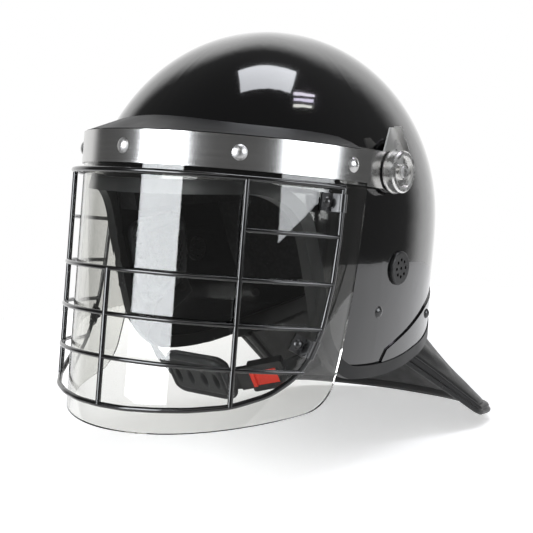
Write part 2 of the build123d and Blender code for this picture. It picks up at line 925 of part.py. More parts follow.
with BuildPart() as pivot_cap_left:
    with BuildSketch(pivot_face.offset(back_face)):
        Circle(cap_radius)
    extrude(amount=cap_depth)
    chamfer(pivot_cap_left.faces().sort_by(Axis.X)[-1].edges(), cap_bevel)
    with BuildSketch(pivot_face.offset(cap_face)):
        Circle(cap_recess_radius)
        Circle(cap_boss_radius, mode=Mode.SUBTRACT)
    extrude(amount=-cap_recess_depth, mode=Mode.SUBTRACT)
    add(rod(pivot_face.offset(screw_seat), pivot_screw_head_radius, 0, overrun), mode=Mode.SUBTRACT)
    add(rod(pivot_face, pivot_screw_radius, 0, overrun), mode=Mode.SUBTRACT)
pivot_cap_left.part.label = "pivot_cap_left"

with BuildPart() as pivot_cap_right:
    mirror(pivot_cap_left.part, about=Plane.YZ)
pivot_cap_right.part.label = "pivot_cap_right"

nut_face = -nut_seat_drop - nut_thickness

with BuildPart() as pivot_screws:
    add(rod(pivot_face.offset(nut_face), pivot_screw_radius, pad_margin, screw_seat - nut_face))
    with BuildSketch(pivot_face.offset(screw_seat)):
        Circle(pivot_screw_head_radius)
    extrude(amount=pivot_screw_head_height)
    chamfer(pivot_screws.faces().sort_by(Axis.X)[-1].edges(), pivot_screw_head_height / 6)
    with BuildSketch(pivot_face.offset(screw_seat + pivot_screw_head_height)):
        RegularPolygon(socket_flats / 2, 6, major_radius=False)
    extrude(amount=-pivot_screw_head_height * 0.7, mode=Mode.SUBTRACT)
    mirror(about=Plane.YZ)
pivot_screws.part.label = "pivot_screws"

with BuildPart() as pivot_nuts:
    with BuildSketch(pivot_face.offset(-nut_seat_drop)):
        Circle(nut_radius)
    extrude(amount=-nut_thickness * 0.3)
    with BuildSketch(pivot_face.offset(-nut_seat_drop)):
        RegularPolygon(nut_radius * 0.6, 6, major_radius=False)
    extrude(amount=-nut_thickness)
    add(rod(pivot_face, pivot_screw_radius, overrun, 0), mode=Mode.SUBTRACT)
    mirror(about=Plane.YZ)
pivot_nuts.part.label = "pivot_nuts"

# Face shield: lens, band and arms
side_reach = lens_half_width + overrun
rivet_bearings = (0, 46.5, -46.5, 85.5, -85.5)
arm_face = -lens_thickness - arm_thickness
lens_floor = -lens_chin_depth - overrun
chin_slope = (lens_chin_depth - lens_corner_depth) / (lens_chin_ahead - lens_corner_ahead)
lens_front = plan_ahead + lens_reach + overrun

with BuildPart() as lens_outline:
    with BuildSketch(visor_side.offset(-side_reach)):
        with BuildLine():
            Polyline(
                (-lens_rear_ahead, -lens_rear_straight),
                (-lens_rear_ahead, lens_top),
                (-lens_front, lens_top),
                (-lens_front, -lens_corner_depth - chin_slope * (lens_front - lens_corner_ahead)),
                (-lens_corner_ahead, -lens_corner_depth),
            )
            ThreePointArc(
                (-lens_corner_ahead, -lens_corner_depth),
                (-lens_rear_mid_ahead, -lens_rear_mid_depth),
                (-lens_rear_ahead, -lens_rear_straight),
            )
        make_face()
    extrude(amount=side_reach * 2)
    lens_corner_edge = lens_outline.edges().filter_by(Axis.X).sort_by_distance(
        visor_side.from_local_coords((-lens_corner_ahead, -lens_corner_depth, 0))
    )[0]
    fillet(lens_corner_edge, lens_corner)


def rivet_hole(bearing):
    """Hole for a band rivet at a bearing."""
    return rod(plan_spot(0, bearing, 0), rivet_radius, overrun, overrun)


# Places of the grille's wires and clips over the lens
half_perimeter = [
    (bearing, share * grille_bottom)
    for bearing, share in zip(perimeter_bearings, perimeter_depth_shares)
]


def wire_point(bearing, depth):
    """Point on the grille's surface."""
    return plan_spot(wire_stand_off, bearing, -depth).origin


clip_place_shares = ((0, 0.32), (3, 0.5))
ring_radius = frame_wire_radius + clip_thickness


def clip_plane(run, share):
    """Plane on the wire with Z along it, X forward along the lens and Y outwards."""
    above = wire_point(*half_perimeter[run])
    below = wire_point(*half_perimeter[run + 1])
    middle = above + (below - above) * share
    bearing = half_perimeter[run][0] * (1 - share) + half_perimeter[run + 1][0] * share
    outward = plan_spot(0, bearing, 0).z_dir
    along = (above - below).normalized()
    return Plane(origin=middle, x_dir=outward.cross(along), z_dir=along)


def clip_screw_plane(place):
    """Plane on the lens under the clip's screw, Z pointing outwards."""
    foot = place.from_local_coords((clip_screw_ahead, -wire_stand_off, 0))
    outward = place.y_dir
    return Plane(origin=foot, x_dir=place.z_dir, z_dir=outward)


clip_places = [clip_plane(run, share) for run, share in clip_place_shares]
clip_screw_places = [clip_screw_plane(place) for place in clip_places]

with BuildPart() as visor_lens:
    add(plan_body(0, lens_floor, lens_top, 0))
    add(plan_body(-lens_thickness, lens_floor, lens_top, overrun), mode=Mode.SUBTRACT)
    add(lens_outline.part, mode=Mode.INTERSECT)
    for bearing in rivet_bearings:
        add(rivet_hole(bearing), mode=Mode.SUBTRACT)
    for spot in clip_screw_places:
        hole = rod(spot, clip_screw_radius, overrun, overrun)
        add(hole, mode=Mode.SUBTRACT)
        mirror(hole, about=Plane.YZ, mode=Mode.SUBTRACT)
visor_lens.part.label = "visor_lens"

with BuildPart() as visor_band:
    add(plan_body(band_thickness, -band_height / 2, band_height / 2, -band_rear))
    add(plan_body(0, -band_height / 2, band_height / 2, overrun), mode=Mode.SUBTRACT)
    for bearing in rivet_bearings:
        add(rivet_hole(bearing), mode=Mode.SUBTRACT)
visor_band.part.label = "visor_band"

with BuildPart() as arm_outline:
    with BuildSketch(visor_side):
        with BuildLine():
            Polyline(
                (-arm_front, -arm_height / 2),
                (0, -arm_height / 2),
                (0, arm_height / 2),
                (-arm_front, arm_height / 2),
                close=True,
            )
        make_face()
        fillet(vertices().group_by(Axis.X)[0], arm_corner)
        Circle(arm_height / 2)
    extrude(amount=side_reach)

with BuildPart() as visor_arm_left:
    add(plan_body(-lens_thickness, -arm_height / 2, arm_height / 2, arm_height))
    add(plan_body(arm_face, -arm_height, arm_height, arm_height * 2), mode=Mode.SUBTRACT)
    add(arm_outline.part, mode=Mode.INTERSECT)
    add(rod(pivot_face, bush_radius + running_gap, overrun, overrun), mode=Mode.SUBTRACT)
    add(rivet_hole(rivet_bearings[3]), mode=Mode.SUBTRACT)
visor_arm_left.part.label = "visor_arm_left"

with BuildPart() as visor_arm_right:
    mirror(visor_arm_left.part, about=Plane.YZ)
visor_arm_right.part.label = "visor_arm_right"

with BuildPart() as band_rivets:
    for bearing in rivet_bearings:
        has_arm = abs(bearing) > side_bearing + side_turn / 2
        add(
            domed_pin(
                plan_spot(band_thickness, bearing, 0),
                rivet_head_radius,
                rivet_head_height,
                rivet_radius,
                band_thickness + lens_thickness + (arm_thickness if has_arm else 0) + tail_relief,
                rivet_tail_radius,
                rivet_tail_height,
            )
        )
band_rivets.part.label = "band_rivets"

# Rubber seal from the lens to the brow of the shell
seal_outer_level = lens_top + seal_thickness
seal_inner_level = seal_outer_level + seal_rise


def seal_cone(drop):
    """Tapered solid from the lens's plan inwards and up, lowered by a drop."""
    with BuildPart() as cone:
        for level, shift in ((seal_outer_level, 0), (seal_inner_level, -seal_reach)):
            with BuildSketch(visor.offset(level - drop)):
                with BuildLine():
                    plan_arcs(shift)
                    Line(
                        (-lens_half_width - shift, -plan_ahead),
                        (lens_half_width + shift, -plan_ahead),
                    )
                make_face()
        loft(ruled=True)
    return cone.part


with BuildPart() as brow_seal:
    add(seal_cone(0))
    add(seal_cone(seal_thickness), mode=Mode.SUBTRACT)
    add(
        visor_slab(
            (
                (-seal_taper_ahead, seal_inner_level),
                (-band_rear, band_height / 2),
                (overrun, band_height / 2),
                (overrun, seal_inner_level),
            )
        ),
        mode=Mode.SUBTRACT,
    )
    add(shell_body(-seal_clearance), mode=Mode.SUBTRACT)
    add(visor_arm_left.part, mode=Mode.SUBTRACT)
    add(visor_arm_right.part, mode=Mode.SUBTRACT)
brow_seal.part.label = "brow_seal"

# Welded wire grille: bars that follow the plan, two uprights, a centre post and a perimeter
def bent_bar(depth, first_bearing, last_bearing, radius):
    """Round bar along the plan at a depth, between two bearings."""
    first = plan_spot(wire_stand_off, first_bearing, -depth)
    along = Plane(origin=first.origin, z_dir=first.z_dir.cross(visor.z_dir))
    side_centre = lens_half_width - side_radius
    spans = (
        (-quarter_turn, -side_bearing, -side_centre, -plan_ahead, side_radius),
        (-side_bearing, side_bearing, 0, -plan_ahead - front_offset, front_radius),
        (side_bearing, quarter_turn, side_centre, -plan_ahead, side_radius),
    )
    with BuildPart() as bar:
        with BuildLine(visor.offset(-depth)) as run:
            for low, high, centre_x, centre_y, arc_radius in spans:
                start = max(low, first_bearing)
                stop = min(high, last_bearing)
                if stop > start:
                    CenterArc(
                        (centre_x, centre_y),
                        arc_radius + wire_stand_off,
                        start - quarter_turn,
                        stop - start,
                    )
        with BuildSketch(along):
            Circle(radius)
        sweep(path=run.line)
    return bar.part


def straight_wire(start, stop, radius):
    """Straight round wire between two points."""
    run = stop - start
    return rod(Plane(origin=start, z_dir=run), radius, 0, run.length)


with BuildPart() as perimeter_wire:
    with BuildLine() as perimeter_run:
        FilletPolyline(
            *[wire_point(bearing, depth) for bearing, depth in half_perimeter],
            wire_point(0, grille_bottom),
            *[wire_point(-bearing, depth) for bearing, depth in reversed(half_perimeter)],
            radius=perimeter_bend,
        )
    with BuildSketch(Plane(origin=perimeter_run.line @ 0, z_dir=perimeter_run.line % 0)):
        Circle(frame_wire_radius)
    sweep()

top_bearing = perimeter_bearings[0]
grille_top = half_perimeter[0][1]
stub_depth = half_perimeter[1][1]
centre_wire_top = half_perimeter[bar_places[0]][1]

with BuildPart() as grille:
    add(perimeter_wire.part)
    add(bent_bar(grille_top, -top_bearing, top_bearing, frame_wire_radius))
    for place in bar_places:
        bearing, depth = half_perimeter[place]
        add(bent_bar(depth, -bearing, bearing, bar_wire_radius))
    for side in (1, -1):
        inner, outer = sorted((side * stub_inner_bearing, side * stub_outer_bearing))
        add(bent_bar(stub_depth, inner, outer, bar_wire_radius))
        add(
            straight_wire(
                wire_point(side * stub_inner_bearing, grille_top),
                wire_point(side * stub_inner_bearing, half_perimeter[6][1]),
                frame_wire_radius,
            )
        )
        with Locations(wire_point(side * top_bearing, grille_top)):
            Sphere(frame_wire_radius)
    add(
        straight_wire(
            wire_point(0, centre_wire_top), wire_point(0, grille_bottom), frame_wire_radius
        )
    )
grille.part.label = "grille"

# P-clips that carry the grille on the lens
with BuildPart() as grille_clips:
    for place in clip_places:
        with BuildSketch(place.offset(-clip_width / 2)):
            Circle(ring_radius)
            with BuildLine():
                Polyline(
                    (0, -ring_radius),
                    (clip_screw_ahead - clip_plate_end, -wire_stand_off - clip_thickness),
                    (clip_screw_ahead + clip_plate_end, -wire_stand_off - clip_thickness),
                    (clip_screw_ahead + clip_plate_end, -wire_stand_off + clip_thickness),
                    (clip_screw_ahead - clip_plate_end + clip_thickness, -wire_stand_off + clip_thickness),
                    (ring_radius, 0),
                    close=True,
                )
            make_face()
        extrude(amount=clip_width)
    for spot in clip_screw_places:
        add(rod(spot, clip_screw_radius, overrun, overrun), mode=Mode.SUBTRACT)
    add(plan_body(0, lens_floor, lens_top, 0), mode=Mode.SUBTRACT)
    # The wire forms the loop's bore
    add(grille.part, mode=Mode.SUBTRACT)
    mirror(about=Plane.YZ)
grille_clips.part.label = "grille_clips"

clip_grip = clip_thickness + lens_thickness

with BuildPart() as clip_screws:
    for spot in clip_screw_places:
        add(
            domed_pin(
                spot.offset(clip_thickness),
                clip_head_radius,
                clip_head_height,
                clip_screw_radius,
                clip_grip + clip_nut_height,
                clip_screw_radius * 0.8,
                clip_nut_height / 4,
            )
        )
    mirror(about=Plane.YZ)
clip_screws.part.label = "clip_screws"

with BuildPart() as clip_nuts:
    for spot in clip_screw_places:
        with BuildSketch(spot.offset(-lens_thickness + nut_land)):
            RegularPolygon(clip_nut_radius, 6)
        extrude(amount=-clip_nut_height - nut_land)
    add(plan_body(-lens_thickness, lens_floor, lens_top, 0), mode=Mode.INTERSECT)
    for spot in clip_screw_places:
        add(rod(spot, clip_screw_radius, overrun, overrun), mode=Mode.SUBTRACT)
    mirror(about=Plane.YZ)
clip_nuts.part.label = "clip_nuts"

# Chin strap in its own slanting plane, Y running forward and down
slope = radians(strap_slope)
strap_plane = Plane(
    origin=(0, strap_root_y, strap_root_z), x_dir=(1, 0, 0), z_dir=(0, sin(slope), -cos(slope))
)
strap_root = (strap_root_half, -strap_end)
strap_knee = (strap_root_half, strap_knee_reach)
strap_jaw = (strap_jaw_half, strap_jaw_reach)
strap_chin = (strap_chin_half, strap_chin_reach)
jaw_run = Vector(*strap_chin) - Vector(*strap_jaw)
bend_room_share = 0.32
buckle_ahead = jaw_run.normalized()
strap_entry = buckle_length / 2 - buckle_wall * 2
buckle_spot = Vector(*strap_jaw) + buckle_ahead * (strap_jaw_bend * bend_room_share + strap_entry)
tongue_tail = buckle_length / 2 + buckle_wall * 2
tail_length = buckle_wall * 3


def opposite(point):
    """Point mirrored to the wearer's right."""
    return (-point[0], point[1])


with BuildPart() as strap_left_band:
    with BuildSketch(strap_plane.offset(-strap_width / 2)):
        with BuildLine():
            FilletPolyline(
                strap_root,
                strap_knee,
                strap_jaw,
                tuple(buckle_spot - buckle_ahead * strap_entry)[:2],
                radius=(strap_knee_bend, strap_jaw_bend),
            )
        trace(line_width=strap_thickness)
    extrude(amount=strap_width)

with BuildPart() as strap_right_band:
    with BuildSketch(strap_plane.offset(-strap_width / 2)):
        with BuildLine():
            FilletPolyline(
                tuple(buckle_spot + buckle_ahead * tongue_tail)[:2],
                strap_chin,
                opposite(strap_chin),
                opposite(strap_jaw),
                opposite(strap_knee),
                opposite(strap_root),
                radius=(strap_chin_bend, strap_chin_bend, strap_jaw_bend, strap_knee_bend),
            )
        trace(line_width=strap_thickness)
    extrude(amount=strap_width)

strap_inner_face = strap_root_half - strap_thickness / 2
strap_rivet_reach = (strap_rivet_spot.origin.X - strap_inner_face) / strap_rivet_spot.z_dir.X
strap_tail_centre = strap_rivet_spot.offset(-strap_rivet_reach).origin
strap_tail_spot = Plane(origin=strap_tail_centre, x_dir=(0, 1, 0), z_dir=(1, 0, 0))
strap_hole = rod(strap_rivet_spot, strap_rivet_shank, overrun, 0)

with BuildPart() as strap_washers:
    with BuildSketch(strap_tail_spot.offset(strap_thickness)):
        Circle(strap_washer_radius)
    extrude(amount=overrun)
    add(shell_body(shell_wall), mode=Mode.INTERSECT)
    add(strap_hole, mode=Mode.SUBTRACT)
    mirror(about=Plane.YZ)
strap_washers.part.label = "strap_washers"

with BuildPart() as strap_rivets:
    add(
        domed_pin(
            strap_rivet_spot,
            strap_rivet_head_radius,
            strap_rivet_head_height,
            strap_rivet_shank,
            strap_rivet_reach,
            strap_rivet_shank * 0.8,
            strap_thickness / 4,
        )
    )
    add(rod(strap_tail_spot, strap_rivet_head_radius * 0.8, strap_rivet_head_height / 2, 0))
    mirror(about=Plane.YZ)
strap_rivets.part.label = "strap_rivets"

# Buckle on the wearer's left: X along the strap towards the chin, Z away from the head
buckle_plane = Plane(
    origin=strap_plane.from_local_coords(buckle_spot),
    x_dir=strap_plane.from_local_coords(buckle_ahead) - strap_plane.origin,
    z_dir=strap_plane.from_local_coords(Vector(buckle_ahead.Y, -buckle_ahead.X, 0))
    - strap_plane.origin,
)
half_buckle = buckle_length / 2
lever_floor = buckle_height / 2 - lever_thickness
lever_pin_x = -half_buckle + buckle_wall * 3
lever_pin_z = lever_floor + lever_thickness / 2
lever_tip_x = lever_pin_x + lever_length
lever_room = lever_thickness / 2 + running_gap


def buckle_block(x_low, x_high, width, z_low, z_high):
    """Block in the buckle's frame, centred across the strap."""
    with BuildPart() as block:
        with BuildSketch(buckle_plane.offset(z_low)):
            with Locations(((x_low + x_high) / 2, 0)):
                Rectangle(x_high - x_low, width)
        extrude(amount=z_high - z_low)
    return block.part


lever_axis = Plane(
    origin=buckle_plane.from_local_coords((lever_pin_x, 0, lever_pin_z)),
    x_dir=buckle_plane.x_dir,
    z_dir=buckle_plane.y_dir,
)

with BuildPart() as chin_strap_left:
    add(strap_left_band.part)
    add(strap_hole, mode=Mode.SUBTRACT)
chin_strap_left.part.label = "chin_strap_left"

with BuildPart() as chin_strap_right:
    add(strap_right_band.part)
    add(mirror(strap_hole, about=Plane.YZ, mode=Mode.PRIVATE), mode=Mode.SUBTRACT)
chin_strap_right.part.label = "chin_strap_right"

with BuildPart() as buckle_body:
    with BuildSketch(buckle_plane.offset(-buckle_height / 2)):
        RectangleRounded(buckle_length, buckle_width, buckle_wall)
    extrude(amount=buckle_height)
    add(
        buckle_block(
            lever_pin_x - lever_room,
            lever_tip_x + lever_play,
            lever_width + lever_play * 2,
            lever_floor - lever_play,
            buckle_height,
        ),
        mode=Mode.SUBTRACT,
    )
    add(
        buckle_block(
            -buckle_wall,
            buckle_length,
            tongue_width + tongue_play * 2,
            -tongue_thickness / 2 - tongue_play,
            tongue_thickness / 2 + tongue_play,
        ),
        mode=Mode.SUBTRACT,
    )
    add(rod(lever_axis, lever_pin_radius, lever_width / 2 + buckle_wall, lever_width / 2 + buckle_wall))
    add(strap_left_band.part, mode=Mode.SUBTRACT)
buckle_body.part.label = "buckle_body"

with BuildPart() as buckle_lever:
    add(
        buckle_block(
            lever_pin_x, lever_tip_x, lever_width, lever_floor, lever_floor + lever_thickness
        )
    )
    add(
        buckle_block(
            lever_tip_x - lever_thickness,
            lever_tip_x,
            lever_width,
            lever_floor,
            lever_floor + lever_thickness * 1.6,
        )
    )
    add(rod(lever_axis, lever_thickness / 2, lever_width / 2, lever_width / 2))
    add(
        rod(lever_axis, lever_pin_radius + running_gap, lever_width, lever_width),
        mode=Mode.SUBTRACT,
    )
buckle_lever.part.label = "buckle_lever"

with BuildPart() as buckle_tongue:
    add(
        buckle_block(
            0, tongue_tail, tongue_width, -tongue_thickness / 2, tongue_thickness / 2
        )
    )
    add(
        buckle_block(
            half_buckle + tongue_play,
            tongue_tail + tail_length,
            strap_width + buckle_wall,
            -tongue_thickness,
            tongue_thickness,
        )
    )
    add(strap_right_band.part, mode=Mode.SUBTRACT)
buckle_tongue.part.label = "buckle_tongue"

# Keeper loop on the left strap
knee_point = Vector(*strap_knee)
knee_run = Vector(*strap_jaw) - knee_point
keeper_spot = knee_point + knee_run / 2
keeper_plane = Plane(
    origin=strap_plane.from_local_coords(keeper_spot),
    x_dir=strap_plane.z_dir,
    z_dir=strap_plane.from_local_coords(knee_run) - strap_plane.origin,
)

with BuildPart() as strap_keeper:
    with BuildSketch(keeper_plane.offset(-keeper_width / 2)):
        RectangleRounded(
            strap_width + keeper_thickness * 2, strap_thickness + keeper_thickness * 2, keeper_thickness
        )
        Rectangle(strap_width, strap_thickness, mode=Mode.SUBTRACT)
    extrude(amount=keeper_width)
strap_keeper.part.label = "strap_keeper"

# Chin cup sewn round the strap's front
cup_face = Plane(
    origin=strap_plane.origin, x_dir=strap_plane.x_dir, z_dir=strap_plane.y_dir
)
cup_slot_shares = (-0.62, -0.22, 0.22, 0.62)

with BuildPart() as chin_cup:
    for height, line_width, mode in (
        (cup_height * 2, strap_thickness + cup_thickness * 2, Mode.ADD),
        (strap_width, strap_thickness, Mode.SUBTRACT),
    ):
        with BuildSketch(strap_plane.offset(-height / 2)):
            with BuildLine():
                FilletPolyline(
                    opposite(strap_jaw),
                    opposite(strap_chin),
                    strap_chin,
                    strap_jaw,
                    radius=strap_chin_bend,
                )
            trace(line_width=line_width)
        extrude(amount=height, mode=mode)
    with BuildSketch(cup_face):
        RectangleRounded(cup_half_width * 2, cup_height, cup_corner)
    extrude(amount=strap_chin_reach + overrun, mode=Mode.INTERSECT)
    with BuildSketch(cup_face.offset(strap_chin_reach)):
        for share in cup_slot_shares:
            with Locations((share * cup_half_width, 0)):
                Ellipse(cup_slot_half_width, cup_slot_half_height)
    extrude(amount=overrun, mode=Mode.SUBTRACT)
chin_cup.part.label = "chin_cup"

# Padded neck guard that hangs inside the rim
guard_inset = trim_inner_inset + soft_gap + guard_thickness / 2


def guard_top(place, side):
    """Point of the guard's upper edge, inside the shell."""
    return skirt_spot(
        guard_around_shares[place], guard_down_shares[place], guard_inset, side, 1
    ).origin


def guard_bottom(place, side):
    """Point of the guard's lower edge."""
    bearing = radians(guard_bearings[place])
    return Vector(
        side * guard_bottom_half_width * cos(bearing),
        guard_bottom_front + (guard_bottom_rear - guard_bottom_front) * sin(bearing),
        guard_bottom_z - guard_sag * sin(bearing),
    )


guard_places = [(place, 1) for place in range(len(guard_bearings))]
guard_places += [(place, -1) for place in reversed(range(len(guard_bearings) - 1))]
guard_tops = [guard_top(place, side) for place, side in guard_places]
guard_bottoms = [guard_bottom(place, side) for place, side in guard_places]
guard_middles = [(top + bottom) / 2 for top, bottom in zip(guard_tops, guard_bottoms)]

with BuildPart() as guard_collar:
    add(
        shell_layer(
            trim_inner_inset + soft_gap,
            trim_inner_inset + soft_gap + collar_thickness,
            side_area(trim_wall + collar_drop),
        )
    )
    add(side_slab(side_area(-collar_rise)), mode=Mode.SUBTRACT)
    add(
        band_box(side_reach, collar_front, far_behind, far_ahead * 2, 0),
        mode=Mode.INTERSECT,
    )

with BuildPart() as neck_guard:
    for place, middle in enumerate(guard_middles):
        ahead = guard_middles[min(place + 1, len(guard_middles) - 1)]
        behind = guard_middles[max(place - 1, 0)]
        fall = guard_bottoms[place] - guard_tops[place]
        across = (ahead - behind).cross(fall)
        with BuildSketch(Plane(origin=middle, x_dir=fall, z_dir=fall.cross(across))):
            RectangleRounded(fall.length, guard_thickness, guard_edge)
    loft()
    add(guard_collar.part)
    add(
        shell_layer(trim_outer_inset - soft_gap, trim_inner_inset + soft_gap, side_area(trim_wall)),
        mode=Mode.SUBTRACT,
    )
neck_guard.part.label = "neck_guard"

helmet_nodes = (
    outer_shell,
    edge_trim,
    impact_liner,
    crown_pad,
    brow_pad,
    nape_pad,
    cheek_pad_left,
    cheek_pad_right,
    neck_guard,
    nape_strip,
    nape_rivets,
    ear_plug_left,
    ear_plug_right,
    strap_rivets,
    strap_washers,
    base_plate_left,
    base_plate_right,
    base_screws,
    friction_washers,
    pivot_bushes,
    spring_washers,
    back_washers,
    pivot_cap_left,
    pivot_cap_right,
    pivot_screws,
    pivot_nuts,
    chin_strap_left,
    chin_strap_right,
    strap_keeper,
    chin_cup,
    buckle_body,
    buckle_tongue,
    buckle_lever,
    visor_lens,
    visor_band,
    visor_arm_left,
    visor_arm_right,
    band_rivets,
    brow_seal,
    grille,
    grille_clips,
    clip_screws,
    clip_nuts,
)

for node in helmet_nodes:
    export_step(node.part, f"parts/{node.part.label}.step")
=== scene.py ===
"""Looks of the police riot helmet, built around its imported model, in metres."""

import logging
import math
from dataclasses import dataclass
from enum import Enum
from typing import Callable, Iterable, Sequence

import bmesh
import bpy
import numpy as np
from mathutils import Matrix, Vector
from mathutils.bvhtree import BVHTree


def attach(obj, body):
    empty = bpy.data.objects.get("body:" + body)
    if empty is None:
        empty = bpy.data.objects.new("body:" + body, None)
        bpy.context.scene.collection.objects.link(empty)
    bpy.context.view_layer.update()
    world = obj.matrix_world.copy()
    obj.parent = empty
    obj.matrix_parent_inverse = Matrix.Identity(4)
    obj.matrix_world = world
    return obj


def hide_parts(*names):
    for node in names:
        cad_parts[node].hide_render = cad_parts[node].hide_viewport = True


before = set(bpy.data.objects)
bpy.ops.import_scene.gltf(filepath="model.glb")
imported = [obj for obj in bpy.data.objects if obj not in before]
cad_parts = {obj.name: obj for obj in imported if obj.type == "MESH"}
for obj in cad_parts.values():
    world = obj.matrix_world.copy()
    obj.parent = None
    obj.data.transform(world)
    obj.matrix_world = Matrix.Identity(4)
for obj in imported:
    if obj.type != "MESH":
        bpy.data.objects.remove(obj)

log = logging.getLogger("helmet")
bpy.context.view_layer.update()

Colour = tuple[float, float, float]
Point2 = tuple[float, float]
Point3 = tuple[float, float, float]
Face = tuple[int, ...]
Socket = bpy.types.NodeSocket
Piece = bpy.types.Object


class Body(Enum):
    """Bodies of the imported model."""

    HELMET = "helmet"
    VISOR = "visor"
    LEVER = "lever"


class Lie(Enum):
    """Flat in which a woven or perforated pattern runs."""

    SIDE = ("Y", "Z")
    FRONT = ("X", "Z")
    TOP = ("X", "Y")


class Nodes:
    """Node tree with short calls for the nodes that it uses."""

    def __init__(self, tree: bpy.types.NodeTree) -> None:
        """Takes up a tree and empties it."""
        self.tree = tree
        tree.nodes.clear()

    def add(self, kind: str) -> bpy.types.Node:
        """New node of a kind."""
        return self.tree.nodes.new(kind)

    def join(self, start: Socket, end: Socket) -> None:
        """Links an output to an input."""
        self.tree.links.new(start, end)

    def maths(
        self, kind: str, first: Socket | float, second: Socket | float = 0.0, clamp: bool = False
    ) -> Socket:
        """Sum, product or other result of two values.

        Args:
            kind: Name of the operation.
            first: First value.
            second: Second value.
            clamp: Whether the result is held between 0 and 1.

        Returns:
            The result.
        """
        node = self.add("ShaderNodeMath")
        node.operation = kind
        node.use_clamp = clamp
        for place, value in enumerate((first, second)):
            if isinstance(value, (int, float)):
                node.inputs[place].default_value = value
            else:
                self.join(value, node.inputs[place])
        return node.outputs[0]

    def vector(self, kind: str, first: Socket, second: Sequence[float] | None = None) -> Socket:
        """Result of a vector socket and a plain vector.

        Args:
            kind: Name of the operation.
            first: First vector.
            second: Second vector, or None where the operation takes one.

        Returns:
            The result, a value where the operation gives one.
        """
        node = self.add("ShaderNodeVectorMath")
        node.operation = kind
        self.join(first, node.inputs[0])
        if second is not None:
            node.inputs[1].default_value = second
        return node.outputs["Value" if kind in ("LENGTH", "DOT_PRODUCT") else 0]

    def span(self, value: Socket, source: Point2, target: Point2, kind: str = "LINEAR") -> Socket:
        """Value moved from one range to another, held at its ends.

        Args:
            value: Value to move.
            source: Range it comes from.
            target: Range it goes to.
            kind: How it runs between the ends.

        Returns:
            The moved value.
        """
        node = self.add("ShaderNodeMapRange")
        node.interpolation_type = kind
        for place, number in enumerate((*source, *target)):
            node.inputs[place + 1].default_value = number
        self.join(value, node.inputs[0])
        return node.outputs[0]


